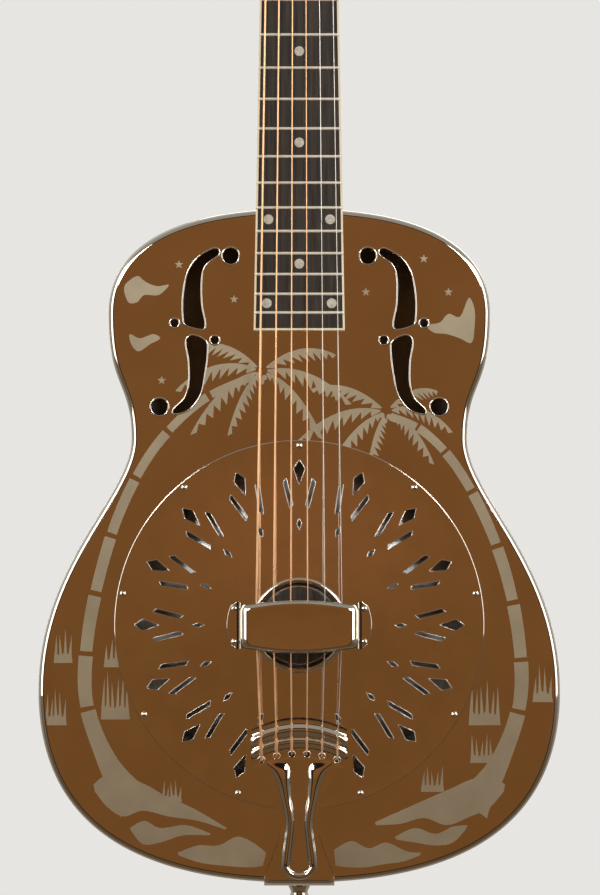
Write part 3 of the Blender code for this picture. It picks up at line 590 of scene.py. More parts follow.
def reeds(x, d, wide, tall, blades, seed):
    """A clump of upright blades."""
    found, step = [(x - wide / 2, d)], wide / blades
    for i in range(blades):
        left = x - wide / 2 + step * i
        lean = 0.9 * math.sin(seed + i * 1.7)
        top = tall * (0.62 + 0.38 * abs(math.sin(seed * 1.3 + i * 2.1)))
        blade = ((0.15, 0, 0.3), (0.5, lean, 1), (0.8, 0, 0.28))
        found += [(left + step * share + off, d - top * up) for share, off, up in blade]
    return found + [(x + wide / 2, d)]


def etched_scene(trunks, crowns, nuts, clouds, stars, lands, clumps):
    """Outlines of a scene. A stretch of land lies between an upper and a lower edge."""
    shapes = [shape for stations in trunks for shape in trunk(*stations)]
    shapes += [frond(crown, *leaf) for crown, leaves in crowns for leaf in leaves]
    shapes += [circle(1.9, 12, 0, x, d) for x, d in nuts]
    shapes += [smooth_path(stations, 4) for stations in clouds]
    shapes += [star(*place) for place in stars]
    for upper, lower in lands:
        shapes.append(smooth_path(upper, 5, closed=False) + smooth_path(lower, 5, closed=False)[::-1])
    return shapes + [reeds(*clump) for clump in clumps]


FRONT_SCENE = etched_scene(
    [([(-112, 771), (-132, 742), (-147, 700), (-146, 655), (-136, 606), (-121, 562), (-98, 522), (-66, 491),
       (-31, 475)], 6.0, 2.6),
     ([(118, 772), (137, 744), (152, 702), (152, 660), (143, 613), (127, 570), (106, 534), (84, 512),
       (63, 503)], 6.0, 2.6)],
    [((-26, 471), [(172, 56, 0.34, 8.5), (146, 50, 0.02, 8), (205, 50, 0.62, 8), (28, 54, 0.1, 8),
                   (-4, 58, 0.36, 8.5), (-32, 46, 0.7, 7.5), (232, 34, 0.8, 7)]),
     ((60, 499), [(150, 56, 0.05, 8), (182, 60, 0.38, 8.5), (212, 46, 0.66, 7.5), (36, 40, 0.05, 7.5),
                  (6, 42, 0.42, 7.5), (-30, 34, 0.75, 7), (248, 30, 0.7, 6.5)])],
    [(-28, 474), (-24, 476), (-26, 479), (57, 502), (62, 503), (59, 506)],
    [[(-118, 424), (-121, 414), (-116, 408), (-111, 406), (-106, 410), (-98, 413), (-90, 412), (-97, 419),
      (-107, 419), (-112, 424)],
     [(-117, 446), (-110, 449), (-101, 446), (-96, 449), (-103, 453), (-111, 458), (-116, 453)],
     [(88, 440), (97, 438), (103, 432), (111, 434), (117, 421), (121, 429), (121, 441), (119, 452),
      (111, 449), (102, 446), (93, 445)]],
    [(-83, 398), (-45, 422), (-95, 478), (86, 394), (46, 417), (103, 417), (58, 450)],
    [([(-142, 757), (-134, 751), (-120, 752), (-106, 757), (-92, 765), (-72, 774), (-50, 787)],
      [(-141, 762), (-132, 773), (-121, 779), (-108, 775), (-90, 779), (-70, 782), (-51, 788)]),
     ([(-117, 787), (-107, 782), (-96, 787), (-78, 785), (-61, 791)],
      [(-116, 789), (-108, 798), (-96, 797), (-80, 792), (-62, 792)]),
     ([(-84, 804), (-70, 799), (-56, 799), (-43, 793), (-32, 797), (-23, 804)],
      [(-83, 806), (-68, 811), (-52, 813), (-40, 814), (-32, 814), (-25, 813)]),
     ([(52, 783), (70, 775), (88, 767), (104, 760), (120, 753), (134, 752), (142, 757)],
      [(53, 785), (70, 784), (86, 780), (102, 785), (118, 779), (131, 773), (141, 762)]),
     ([(66, 793), (80, 787), (94, 791), (106, 786), (116, 785)],
      [(67, 795), (80, 797), (94, 799), (106, 797), (115, 788)]),
     ([(24, 802), (36, 796), (48, 801), (60, 797), (74, 803), (84, 804)],
      [(25, 813), (34, 814), (46, 814), (58, 812), (72, 810), (83, 806)])],
    [(-168, 716, 15, 26, 5, 0.6), (-127, 712, 20, 34, 6, 1.9), (-163, 673, 13, 24, 4, 2.8),
     (-128, 676, 14, 22, 4, 0.2), (128, 716, 22, 32, 6, 1.1), (168, 700, 14, 26, 4, 2.3),
     (126, 742, 16, 20, 5, 3.7), (-88, 769, 14, 16, 5, 0.9), (92, 762, 16, 18, 5, 2.0)],
)
BACK_SCENE = etched_scene(
    [([(-34, 760), (-22, 715), (-4, 665), (20, 612), (34, 560), (38, 505)], 8.5, 3.4, 7, 11)],
    [((39, 497), [(170, 84, 0.42, 12, 11), (145, 78, 0.05, 11, 11), (205, 62, 0.75, 10, 11),
                  (30, 78, 0.1, 11, 11), (0, 84, 0.4, 12, 11), (-30, 60, 0.8, 10, 11),
                  (95, 52, 0.15, 9, 11)])],
    [],
    [[(-112, 462), (-102, 452), (-88, 455), (-76, 446), (-62, 452), (-52, 462), (-70, 466), (-92, 465)]],
    [(-86, 420, 4), (-40, 395, 3.4), (8, 420, 4), (84, 402, 4), (-100, 520, 3.4), (112, 470, 3)],
    [([(-140, 776), (-118, 766), (-92, 762), (-64, 764), (-40, 759), (-16, 766), (8, 777)],
      [(-138, 779), (-118, 784), (-90, 782), (-62, 787), (-36, 783), (-12, 785), (8, 780)]),
     ([(18, 774), (44, 766), (70, 760), (96, 759), (120, 762), (142, 770)],
      [(20, 778), (46, 781), (72, 778), (98, 783), (122, 779), (140, 773)]),
     ([(-92, 799), (-66, 793), (-36, 796), (0, 791), (38, 795), (70, 793), (96, 798)],
      [(-90, 802), (-62, 806), (-32, 804), (2, 809), (38, 805), (68, 806), (94, 801)])],
    [(-110, 764, 24, 34, 7, 0.3), (96, 760, 26, 30, 7, 1.4), (-60, 762, 18, 22, 5, 2.2)],
)


# ---------------------------------------------------------------- body


def f_hole_outlines(side):
    upper = [(56.0, 387.4), (59.8, 386.9), (70.6, 393.4), (77.4, 404.2), (80.4, 419.8), (80.4, 433.9),
             (78.4, 440.0), (67.3, 443.0), (64.8, 439.0), (67.3, 424.9), (67.3, 406.8), (64.3, 398.2),
             (57.6, 393.1), (54.9, 390.4)]
    lower = [(73.4, 446.5), (64.3, 451.0), (63.4, 460.1), (65.3, 475.2), (68.3, 488.3), (76.4, 498.4),
             (86.5, 501.4), (86.5, 497.4), (79.4, 490.3), (76.4, 480.3), (76.4, 465.2), (78.4, 451.0)]
    dots = ((47.4, 392.1, 6.0), (96.5, 496.3, 6.3), (86.1, 438.5, 3.3), (58.3, 450.3, 3.3))
    shapes = [smooth_path(upper, 6), smooth_path(lower, 6)] + [circle(r, 32, 0, x, d) for x, d, r in dots]
    return [[(side * x, d) for x, d in shape] for shape in shapes]


sound_holes = f_hole_outlines(-1) + f_hole_outlines(1)
top_holes = sound_holes + [circle(TOP_HOLE, 96, 0, 0, CENTRE)]
PLATED = [NICKEL, ETCHED]
flat_sheet("body_top_plate", EDGE, 0, -1, PLATED, top_holes, FRONT_SCENE, ["body_top"], edge_rings(0, -1))
walls("sound_hole_walls", sound_holes, lambda x, d: 0, lambda x, d: -3.2, SHADED_NICKEL)
rolled_rims("sound_hole_rims", sound_holes, lambda x, d: -0.15, 0.62)
flat_sheet("body_back_plate", EDGE, -BODY_DEPTH, 1, PLATED, [], BACK_SCENE, ["body_back"],
           edge_rings(-BODY_DEPTH, 1))
band_levels = (-EDGE, -25, -42, -60, -BODY_DEPTH + EDGE)
band_out = [Vector((nx, 0, -nd)) for x, d, nx, nd in OUTLINE]
for name, inset, sign, paint, nodes in (("body_side_band", 0, 1, NICKEL, ["body_sides"]),
                                        ("body_side_inside", SHEET, -1, SHADED_NICKEL, [])):
    rings = []
    for high in band_levels:
        rings.append([front(x, d, high) - out * inset for (x, d, _, _), out in zip(OUTLINE, band_out)])
    normals = [out * sign for out in band_out * len(band_levels)]
    piece(name, loft(rings, caps=False), paint, nodes, normals=normals)
for name, high in (("body_seam_front", -EDGE - 0.35), ("body_seam_back", -BODY_DEPTH + EDGE + 0.35)):
    seam = [front(x + nx * 0.02, d + nd * 0.02, high) for x, d, nx, nd in OUTLINE]
    piece(name, tube(seam, 0.16, 6, ring=True), BRIGHT, angle=60)
flat_sheet("body_top_inside", 4.6, -SHEET, 1, SHADED_NICKEL, top_holes)
flat_sheet("body_back_inside", 4.6, -BODY_DEPTH + SHEET, -1, SHADED_NICKEL, [])


# ---------------------------------------------------------------- coverplate and what it covers


def cover_high(r):
    return COVER_FLAT + COVER_RISE * math.cos(math.pi / 2 * min(r / COVER_RADIUS, 1)) ** 2


def cover_surface(x, d):
    return cover_high(math.hypot(x, d - CENTRE))


def cover_normal(x, d):
    r = math.hypot(x, d - CENTRE)
    slope = -COVER_RISE * math.sin(math.pi * min(r / COVER_RADIUS, 1)) * math.pi / 2 / COVER_RADIUS
    return (FORWARD - Vector((x, 0, CENTRE - d)) / max(r, 1e-6) * slope).normalized()


def perforations(clusters=16):
    """In each cluster a kite, two slanted slots and a small diamond."""
    kite = [(0, 114.1), (4.1, 108.0), (0, 96.2), (-4.1, 108.0)]
    diamond = [(0, 74.1), (1.75, 69.7), (0, 65.3), (-1.75, 69.7)]
    slot = [(10.8, -1.55), (8.4, 1.55), (-10.8, 1.55), (-8.4, -1.55)]
    group, slot_at, slot_turn, slot_lean = [kite, diamond], 90.9, math.radians(4.9), math.radians(14.5)
    for side in (-1, 1):
        middle = Vector((side * slot_at * math.sin(slot_turn), slot_at * math.cos(slot_turn)))
        along = Vector((side * math.sin(slot_lean), math.cos(slot_lean)))
        across = Vector((along.y, -along.x)) * side
        group.append([middle + along * u + across * v for u, v in slot])
    shapes = []
    for i in range(clusters):
        c, s = math.cos(2 * math.pi * i / clusters), math.sin(2 * math.pi * i / clusters)
        for shape in group:
            near = []
            for a, b in zip(shape, [*shape[1:], shape[0]]):
                near += [Vector(a).lerp(Vector(b), t) for t in (0.06, 0.35, 0.65, 0.94)]
            shapes.append([(p.x * c + p.y * s, CENTRE - p.y * c + p.x * s) for p in near])
    return shapes


def spaced_rings(inner, outer, step):
    """Points spread evenly over the coverplate, for an even mesh."""
    found, r, odd = [], inner, 0
    while r < outer:
        sides = max(24, int(2 * math.pi * r / step))
        found += circle(r, sides, odd * math.pi / sides, 0, CENTRE)
        r += step * 0.8
        odd = 1 - odd
    return found


cuts = perforations()
edge_loop = circle(COVER_RADIUS - COVER_EDGE, 144, 0.01, 0, CENTRE)
holes = [*cuts, circle(LIP, 96, 0.01, 0, CENTRE)]
flat, faces, _ = cut_out(edge_loop, holes, (), spaced_rings(LIP + 2, 125.5, 3.4))
edge_high, rings, edge_normals = cover_high(COVER_RADIUS - COVER_EDGE), [], []
edge_out = [Vector((x, 0, CENTRE - d)).normalized() for x, d in edge_loop]
for turn, skirt in ((0, 0), (30, 0), (60, 0), (90, 0), (90, 0.5)):
    c, s = math.cos(math.radians(turn)), math.sin(math.radians(turn))
    level = edge_high - (COVER_EDGE * (1 - c) + skirt)
    rings.append([front(x, d, level) + out * COVER_EDGE * s for (x, d), out in zip(edge_loop, edge_out)])
    edge_normals += [(FORWARD * c + out * s).normalized() for out in edge_out]
dome = [front(*p, cover_surface(*p)) for p in flat]
normals = [cover_normal(*p) for p in flat]
piece("coverplate_dome", joined([(dome, faces), loft(rings, caps=False)]), TRIM, ["coverplate"],
      normals=normals + edge_normals)
walls("coverplate_cut_edges", cuts, cover_surface, lambda x, d: cover_surface(x, d) - 1.5, BRIGHT)
rolled_rims("coverplate_cut_rims", cuts, lambda x, d: cover_surface(x, d) - 0.12, 0.26)
piece("coverplate_underside", ([p - FORWARD for p in dome], faces), SHADED_NICKEL, normals=[-n for n in normals])
lip = [(LIP + 0.25, -0.2), (LIP, 0.25), (LIP - 0.6, 0.95), (LIP - 1.5, 1.25), (LIP - 2.5, 1.1),
       (OPENING + 0.3, 0.4), (OPENING, -0.6), (OPENING + 0.2, -2.2), (OPENING + 1.2, -2.4), (LIP - 1.2, -0.6)]
lip = [(r, cover_high(LIP) + h) for r, h in lip]
piece("coverplate_lip", lathe(lip, 0, CENTRE, 96, closed=True), BRIGHT, angle=60)


def screw(name, x, down, seat, node, head=2.12, turn=0.4, length=9):
    """A round-headed screw with a cross recess, its head's underside at height seat."""
    angles = (0.06, 0.35, 0.65, 0.95, 1.25, math.pi / 2)
    profile = [(head * math.sin(a), seat + 1.35 * math.cos(a)) for a in angles]
    profile += [(head * 0.96, seat - 0.05), (1.05, seat - 0.05)]
    profile += [(1.05 if i % 2 else 0.82, seat - i * 0.5) for i in range(1, 2 * length)]
    profile.append((0.3, seat - length))
    made = piece(name, lathe(profile, x, down), BRIGHT, [node], angle=45)
    arm = [(-1.25, -0.2), (1.25, -0.2), (1.25, 0.2), (-1.25, 0.2)]
    for a in (turn, turn + math.pi / 2):
        c, s = math.cos(a), math.sin(a)
        bar = [(x + u * c - v * s, down + u * s + v * c) for u, v in arm]
        carve(made, prism(bar, seat + 0.7, seat + 2, front))


screw_seat = cover_high(COVER_SCREW_RADIUS) + 0.3
for i, (x, down) in enumerate(circle(COVER_SCREW_RADIUS, 9, -math.pi / 2, 0, CENTRE)):
    screw(f"coverplate_screw_head_{i + 1}", x, down, screw_seat, f"coverplate_screw_{i + 1}", turn=0.4 + i)
# These pieces keep their CAD shapes and only take a material.
for node, paint in (("cone", CONE), ("cone_well", SHADED_NICKEL), ("biscuit", BISCUIT_PAINTED_SHADE), ("saddle", MAPLE),
                    ("biscuit_screw", STEEL), ("neck_stick", BARE_MAHOGANY), ("stick_support_upper", SPRUCE),
                    ("stick_support_lower", SPRUCE), ("fingerboard_shim", BARE_MAHOGANY),
                    ("truss_rod", STEEL), ("truss_rod_nut", STEEL)):
    CAD[node].data.materials.clear()
    CAD[node].data.materials.append(paint)


# ---------------------------------------------------------------- hand rest, tailpiece and end pin


def superellipse(half_x, half_d, power, sides=28):
    def share(value):
        return math.copysign(abs(value) ** (2 / power), value)

    return [(half_x * share(c), half_d * share(s)) for c, s in circle(1, sides)]


def barrel(half_x, half_mid, half_end, high, sides=20, corner=4.6):
    """A ring shaped like a barrel seen from the side: bowed long edges and short straight ends."""
    quarter = []
    for i in range(sides + 1):
        x = (half_x - corner) * i / sides
        quarter.append((x, half_end + (half_mid - half_end) * math.cos(math.pi / 2 * x / half_x)))
    x, top = half_x - corner, quarter[-1][1] - corner
    angles = [math.pi / 2 * i / 7 for i in range(1, 8)]
    quarter += [(x + corner * math.sin(a), top + corner * math.cos(a)) for a in angles]
    quarter.append((half_x, top * 0.5))
    ring = quarter + [(x, -d) for x, d in quarter[::-1]]
    ring += [(-x, -d) for x, d in quarter[1:]] + [(-x, d) for x, d in quarter[:0:-1]]
    return [front(x, CENTRE + d, high) for x, d in ring]


shell = [(34.6, 14.9, 11.4, 31.15), (35.4, 15.6, 12.0, 31.2), (36.2, 16.3, 12.6, 31.0),
         (37.4, 17.1, 13.3, 30.3), (38.7, 17.8, 13.9, 29.2), (39.7, 18.2, 14.3, 27.9),
         (40.2, 18.4, 14.5, 26.4), (40.3, 18.4, 14.5, 25.0), (39.1, 17.2, 13.3, 25.0),
         (38.8, 16.9, 13.0, 27.0), (37.0, 16.0, 12.3, 29.2), (33.8, 14.2, 10.8, 29.9)]
piece("hand_rest_cover", loft([barrel(*ring) for ring in shell]), TRIM, ["hand_rest"], angle=28)
foot_high = cover_high(45.0) + 0.15
foot_profile = [(40.5, 3.4), (41.3, 1.9), (42.8, 1.35), (46.0, 1.2), (49.6, 1.05), (49.6, 0.05), (46.0, 0.2),
                (41.6, 0.4), (39.6, 1.2), (39.1, 3.4)]
leg_profile = [(40.3, 25.6), (40.3, 16.0)] + [(x, foot_high + h) for x, h in foot_profile]
leg_profile += [(39.0, 16.0), (39.0, 25.6)]
leg_shares = (-1, -0.97, -0.85, -0.7, -0.5, -0.25, 0, 0.25, 0.5, 0.7, 0.85, 0.97, 1)


def leg_point(side, x, high, share):
    """A point of a leg by its place across, its height, and its share of the leg's half width."""
    wide = 14.6 + (1.2 if x < 41 else 1.7 - 3.2 * max(0, (x - 46.0) / 3.6) ** 2) - 1.5 * (high > 24)
    return front(side * (x - 2.6 * share**2 * max(0.0, x - 43.5) / 6.1), CENTRE + share * wide, high)


foot_screws = [(side * 44.8, CENTRE + d) for side in (-1, 1) for d in (-11.4, 11.4)]
for side, name in SIDES:
    rings = [[leg_point(side, x, h, share) for x, h in leg_profile] for share in leg_shares]
    leg = piece(f"hand_rest_leg_{name}", loft(rings), TRIM, angle=40)
    line = [(43.0, -16.1, 1.0)] + [(49.6 - 2.6 * (k / 20) ** 2, 13.1 * k / 20, 0.75) for k in range(-20, 21)]
    line = [front(side * x, CENTRE + d, foot_high + h) for x, d, h in line + [(43.0, 16.1, 1.0)]]
    piece(f"hand_rest_flange_edge_{name}", tube(line, 0.42, 8), BRIGHT, angle=60)
    for x, down in foot_screws[:2] if side < 0 else foot_screws[2:]:
        carve(leg, lathe([(1.5, 2), (1.5, 20)], x, down, 20))
for i, (x, down) in enumerate(foot_screws):
    node = f"hand_rest_screw_{i + 1}"
    screw(f"hand_rest_screw_head_{i + 1}", x, down, foot_high + 1.42, node, 2.15, 0.7 + i)


def between(stations, at):
    """A value read off a list of (place, value), smoothly."""
    if at <= stations[0][0]:
        return stations[0][1]
    for (a, va), (b, vb) in zip(stations, stations[1:]):
        if at <= b:
            t = (at - a) / (b - a)
            return va + (vb - va) * t * t * (3 - 2 * t)
    return stations[-1][1]


RIB_PLACE = [(735, 17.4), (741, 15.8), (747, 12.4), (757, 10.2), (766, 8.8), (775, 7.2), (784, 6.4),
             (794, 7.4), (806, 8.9), (817, 9.9)]
RIB_WIDTH = [(735, 9.5), (741, 8.6), (747, 6.6), (757, 4.6), (766, 3.8), (775, 3.4), (784, 3.2), (794, 3.3),
             (806, 3.5), (817, 3.2)]
TAIL_EDGE = [(33.1, 719.6), (33.2, 730), (33.1, 741.5), (31.8, 743.3), (27.5, 746.6), (22.4, 753.5),
             (18.6, 761), (15.3, 768.3), (13.4, 776), (13.0, 784), (13.8, 791.5), (15.6, 798), (18.6, 807),
             (22.0, 815.0), (23.9, 822.0)]
TAIL_REACH = [(711, 0), (712.5, 14), (716, 24), (720, 32.6), (742, 32.6)]
TAIL_THICK = 1.4


def tail_high(down):
    """Height of the tailpiece's flat underside."""
    return 9.5 - 5.5 * max(0, min((down - 712) / (BODY_END - 712), 1))


def tail_start(x):
    """The curved front edge of the tailpiece's bar."""
    return 711.3 + x * x / 131


def bump_at(share):
    """A smooth bump: 1 in its middle and 0 at a share of 1 to either side."""
    return (1 + math.cos(math.pi * share)) / 2 if abs(share) < 1 else 0.0


def tail_top(x, d):
    """Height of the tailpiece's outer face: two ridges across its bar, and a valley between its ribs."""
    x, high = abs(x), tail_high(d) + 1.5
    arc = d - tail_start(x)
    if d < 748:
        fade = math.sin(math.pi / 2 * min(1, max(0, (34.0 - x) / 3.0))) ** 2
        high += fade * (2.0 * bump_at((arc - 7.2) / 5.6) + 1.5 * bump_at((arc - 15.4) / 4.6))
        high -= 0.25 * bump_at((arc - 24.0) / 4.0)
    if 736 < d < 824:
        rise = min(1, (d - 736) / 10) * min(1, (824 - d) / 12)
        valley = between([(738, 0.0), (768, 0.4), (800, 0.4), (822, 0.1)], d)
        high -= valley * bump_at(x / max(between(RIB_PLACE, d) - 1.5, 1.0)) * rise
    return high


def tail_under(x, d):
    return tail_top(x, d) - TAIL_THICK


def tail_normal(x, d, e=0.12):
    across, along = tail_top(x + e, d) - tail_top(x - e, d), tail_top(x, d + e) - tail_top(x, d - e)
    return Vector((-across / (2 * e), -1, along / (2 * e))).normalized()


def well_inside(x, d):
    """Whether a point lies well inside the tailpiece's outline and clear of its holes."""
    if any(math.hypot(x - hx, d - hd) < 2.9 for hx, hd in TAIL_HOLES):
        return False
    reach = between(TAIL_REACH if d < 743 else [(b, a - 0.8) for a, b in TAIL_EDGE if b > 741], d)
    return abs(x) < reach - 0.4 and d > tail_start(x) + 0.7


tail_right = [(x, tail_start(x)) for x in (0, 6, 12, 18, 24, 29)] + smooth_path(TAIL_EDGE, 5, closed=False)
tail_loop = tail_right + [(-x, d) for x, d in tail_right[:0:-1]]
tail_holes = [circle(HOLE_RADIUS, 28, 0, x, d) for x, d in TAIL_HOLES]
grid = [(col * 0.92 + (row % 2) * 0.46, 712 + row * 0.95) for row in range(118) for col in range(-36, 37)]
flat, faces, _ = cut_out(tail_loop, tail_holes, (), [p for p in grid if well_inside(*p)])
normals = [tail_normal(*p) for p in flat]
top, under = ([front(*p, high(*p)) for p in flat] for high in (tail_top, tail_under))
piece("tailpiece_plate", (top, faces), TRIM, ["tailpiece"], normals=normals)
piece("tailpiece_underside", (under, faces), SHADED_NICKEL, normals=[-n for n in normals])
stations = list(zip(smooth_path(RIB_PLACE, 8, closed=False), smooth_path(RIB_WIDTH, 8, closed=False)))
for side, name in SIDES:
    rings = []
    for k, ((d, middle), (_, half)) in enumerate(stations):
        t = k / (len(stations) - 1)
        rise = math.sin(math.pi / 2 * min(1, t / 0.3)) ** 2
        rise *= math.sin(math.pi / 2 * min(1, (1.02 - t) / 0.1)) ** 0.8
        base = tail_high(d) + 0.75
        rings.append([front(side * middle + half * u, d, base + 3.3 * rise * v) for u, v in circle(1, 32)])
    piece(f"tailpiece_rib_{name}", loft(rings), TRIM, angle=80)
cup = [(9.7 * c, 811.5 + 8.2 * s) for c, s in circle(1, 64)[:33]]
piece("tailpiece_foot_roll", tube([front(x, d, tail_high(d) + 1.3) for x, d in cup], 2.5, 24), TRIM, angle=80)
walls("tailpiece_edge", [tail_loop], tail_top, tail_under, BRIGHT, 1)
walls("tailpiece_hole_edges", tail_holes, tail_top, tail_under, SHADED_NICKEL)
rolled_rims("tailpiece_hole_rims", tail_holes, lambda x, d: tail_top(x, d) - 0.1, 0.42)

bend = [(820.5, tail_high(820.5) + 1.45), (822.6, 5.4), (824.2, 4.7), (825.5, 3.3), (826.3, 1.4),
        (826.8, -0.8), (827.0, -4), (827.2, -20), (827.4, -36), (827.5, -53)]
points, across = [], 9
for d, h in bend:
    wide = 24.2 - 2.2 * min(1, max(0, -h / 20)) - 7.0 * max(0, (-h - 44) / 9) ** 2
    points += [front(wide * (k - 4) / 4, d, h) for k in range(across)]
starts = [i * across + k for i in range(len(bend) - 1) for k in range(across - 1)]
faces = [(a, a + 1, a + across + 1, a + across) for a in starts]
strap = piece("tailpiece_strap", (points, faces), TRIM, angle=60)
thick = strap.modifiers.new("thick", "SOLIDIFY")
thick.thickness, thick.offset = 1.5 * MM, -1
pin = [(3.0, 797), (3.0, 828.4), (6.8, 828.4), (7.6, 829.0), (8.0, 830.2), (7.4, 832.2), (6.2, 834.4),
       (5.9, 836.2), (6.7, 838.2), (7.2, 839.4), (6.4, 840.7), (4.2, 841.0), (0.4, 841.0)]
rings = turned_along(pin, lambda u, v, d: front(u, d, v + PIN_HIGH), 40)
piece("end_pin_button", loft(rings), BRIGHT, ["end_pin"], angle=50)


# ---------------------------------------------------------------- neck, fingerboard and headstock


def board_half(z):
    return (NUT_WIDTH - BOARD_TAPER * z) / 2


def local(x, z, y):
    """A point of the neck's or headstock's own frame from its place across and along, and its depth."""
    return Vector((x, y, z))


def neck_ring(z, back, waist, world_end=None, count=41):
    """One section of the neck, from one edge of its face round its back to the other.

    With world_end the section lies level, at that distance below the nut.
    """
    ring, half, face = [], board_half(z), BOARD_THICK + 0.3
    for i in range(count):
        t = math.pi * i / (count - 1)
        bulge = math.sin(t) ** 0.85 if 0 < i < count - 1 else 0.0
        y = face + (back - face) * bulge
        if world_end:
            z = -BODY_START + (BODY_START - world_end + y * math.sin(NECK_TILT)) / math.cos(NECK_TILT)
        ring.append(Vector((half * math.cos(t) * (1 - waist * bulge), y, z)))
    return ring


def linear(stations, at):
    """A value read off a list of (place, value) whose places fall, in straight steps."""
    for (a, va), (b, vb) in zip(stations, stations[1:]):
        if at >= b:
            return va + (vb - va) * (a - at) / (a - b)
    return stations[-1][1]


def neck_back(z):
    """Depth of the neck's back: nearly straight, then the heel's sweep."""
    if z > -306:
        return linear([(5.2, 21.5), (-60, 22.2), (-180, 23.0), (-300, 24.3), (-318, 27.0)], z)
    return 24.5 + 41.5 * ((-306 - z) / 52) ** 1.5


neck_places = [5.2, 0, -30, -60, -100, -140, -180, -220, -260, -290, -300, -306, -312, -318, -323, -328,
               -332, -336, -340, -344, -348, -352, -355]
waists = [(5.2, 0.0), (-300, 0.0), (-332, 0.06), (-344, 0.1), (-358, 0.13)]
rings = [neck_ring(z, neck_back(z), linear(waists, z)) for z in neck_places]
rings.append(neck_ring(-358, 66, 0.13, BODY_START - 0.3))
wood = piece("neck_wood", loft(rings), MAHOGANY, ["neck"], place=NECK)


def mirrored(right):
    """A right half that ends on the middle line, carried on round its left half."""
    return right + [(-x, z) for x, z in right[-2::-1]]


def head_outline():
    """Points round the headstock's face from its right corner at the nut, over the top, to the left one."""
    shoulder = [(22.2, 6.1), (24.6, 10.4), (29, 15), (33.6, 20.3), (36.9, 24.8), (HEAD_HALF, 30)]
    crown = [(HEAD_HALF, 162), (37.2, 170), (34.6, 178.5), (30, HEAD_LENGTH - 3), (22, HEAD_LENGTH - 0.8),
             (14, HEAD_LENGTH - 1.6), (7, HEAD_LENGTH - 3.6), (0.01, HEAD_LENGTH - 4.6)]
    shoulder, crown = smooth_path(shoulder, 4, closed=False), smooth_path(crown, 5, closed=False)
    return mirrored([(21.4, 0.7)] + shoulder + crown)


def slot_loop(side):
    """The round-ended outline of one of the headstock's two slots."""
    middle, r = (SLOT_INNER + SLOT_OUTER) / 2, (SLOT_OUTER - SLOT_INNER) / 2
    angles = [math.pi * i / 12 for i in range(13)]
    ends = [(SLOT_HIGH - r, a) for a in angles] + [(SLOT_LOW + r, math.pi + a) for a in angles]
    return [(side * middle + r * math.cos(a), z + r * math.sin(a)) for z, a in ends]


def slots(low, high):
    return joined([prism(slot_loop(side), low, high, local) for side in (-1, 1)])


def rod_screw_bores(start, end, radius, sides):
    bores = [[(side * ROD_SCREW_X, y, ROD_SCREW_Z) for y in (start, end)] for side in (-1, 1)]
    return [tube(path, radius, sides) for path in bores]


carve(wood, prism(head_outline(), 0, HEAD_THICK, local), "UNION", HEAD)
carve(wood, slots(-6, 40), place=HEAD)
drilled = rod_screw_bores(-3, 9.5, 1.2, 12)
for z in ROLLER_Z:
    for side in (-1, 1):
        drilled.append(tube([(side * x, ROLLER_Y, z) for x in (6, 45)], ROLLER_RADIUS + 0.3, 28))
carve(wood, joined(drilled), place=HEAD)
carve(wood, box((-2.9, 2.9), (4, ROD_Y + 3), (-345, 6.5)), place=NECK)
carve(wood, box((-5.6, 5.6), (1, ROD_Y + 4.4), (5.6, 27)), place=NECK)
crease(wood.data, 32)

slab = [(board_half(0), 5.9)] + head_outline()[2:-2] + [(-board_half(0), 5.9)]
veneer = piece("headstock_face", prism(slab, -1.8, -0.3, local), VENEER, ["headstock_overlay"], place=HEAD)
for cutter in (slots(-6, 4), box((-5.6, 5.6), (-6, 4), (4, 29)), joined(rod_screw_bores(-6, 4, 1.3, 12))):
    carve(veneer, cutter, place=HEAD)
bell = [(9, 7), (9.4, 13), (9.2, 20), (7.8, 25), (5.0, 29.5), (2.6, 33.5), (0.01, 36)]
bell = mirrored(smooth_path(bell, 4, closed=False))
rings = [[Vector((x * (1 - inset / 9), y, 18 + (z - 18) * (1 - inset / 14))) for x, z in bell]
         for inset, y in ((0, -2.1), (0, -3.3), (0.25, -3.7), (0.7, -3.9))]
rod_cover = piece("truss_rod_bell_cover", loft(rings), BLACK, ["truss_rod_cover"], place=HEAD, angle=25)
carve(rod_cover, joined(rod_screw_bores(-6, 0, 1.25, 16)), place=HEAD)
screw_profile = [(0.2, -5.35), (0.9, -5.2), (1.45, -4.85), (1.75, -4.3), (1.7, -4.15), (0.9, -4.1),
                 (0.9, 6.5), (0.3, 7.5)]
for i, middle in enumerate((-ROD_SCREW_X, ROD_SCREW_X)):
    rings = turned_along(screw_profile, lambda u, v, y: Vector((middle + u, y, ROD_SCREW_Z + v)), 20)
    node = [f"rod_cover_screw_{i + 1}"]
    head = piece(f"rod_cover_screw_head_{i + 1}", loft(rings), BRIGHT, node, place=HEAD, angle=45)
    for half_x, half_z in ((1.1, 0.2), (0.2, 1.1)):
        across, along = (middle - half_x, middle + half_x), (ROD_SCREW_Z - half_z, ROD_SCREW_Z + half_z)
        carve(head, box(across, (-6, -4.8), along), place=HEAD)

# The fingerboard: dark wood inside an ivory edge, pearl dots let in, and frets whose ends run over the edge.
board_start, board_end = -0.3, -BOARD_LENGTH
rings = []
for z in (board_start, -60, -120, -180, -240, -300, -360, -410, board_end + BINDING):
    w = board_half(z) - BINDING
    corners = ((-w, 0), (0, 0), (w, 0), (w, BOARD_THICK), (-w, BOARD_THICK))
    rings.append([Vector((x, y, z)) for x, y in corners])
piece("fingerboard_wood", loft(rings), BOARD, ["fingerboard"], place=NECK, angle=20)
strip = BINDING - 0.05
near, far = board_half(board_start), board_half(board_end)
right = [(far, board_end), (near, board_start), (near - strip, board_start), (far - strip, board_end + strip)]
edge = [(-x, z) for x, z in right[1::-1]] + right + [(-x, z) for x, z in right[:1:-1]]
edge = prism(edge, 0, BOARD_THICK, local)
bevelled(piece("fingerboard_edge", edge, IVORY, ["fingerboard_binding"], place=NECK), 0.25)


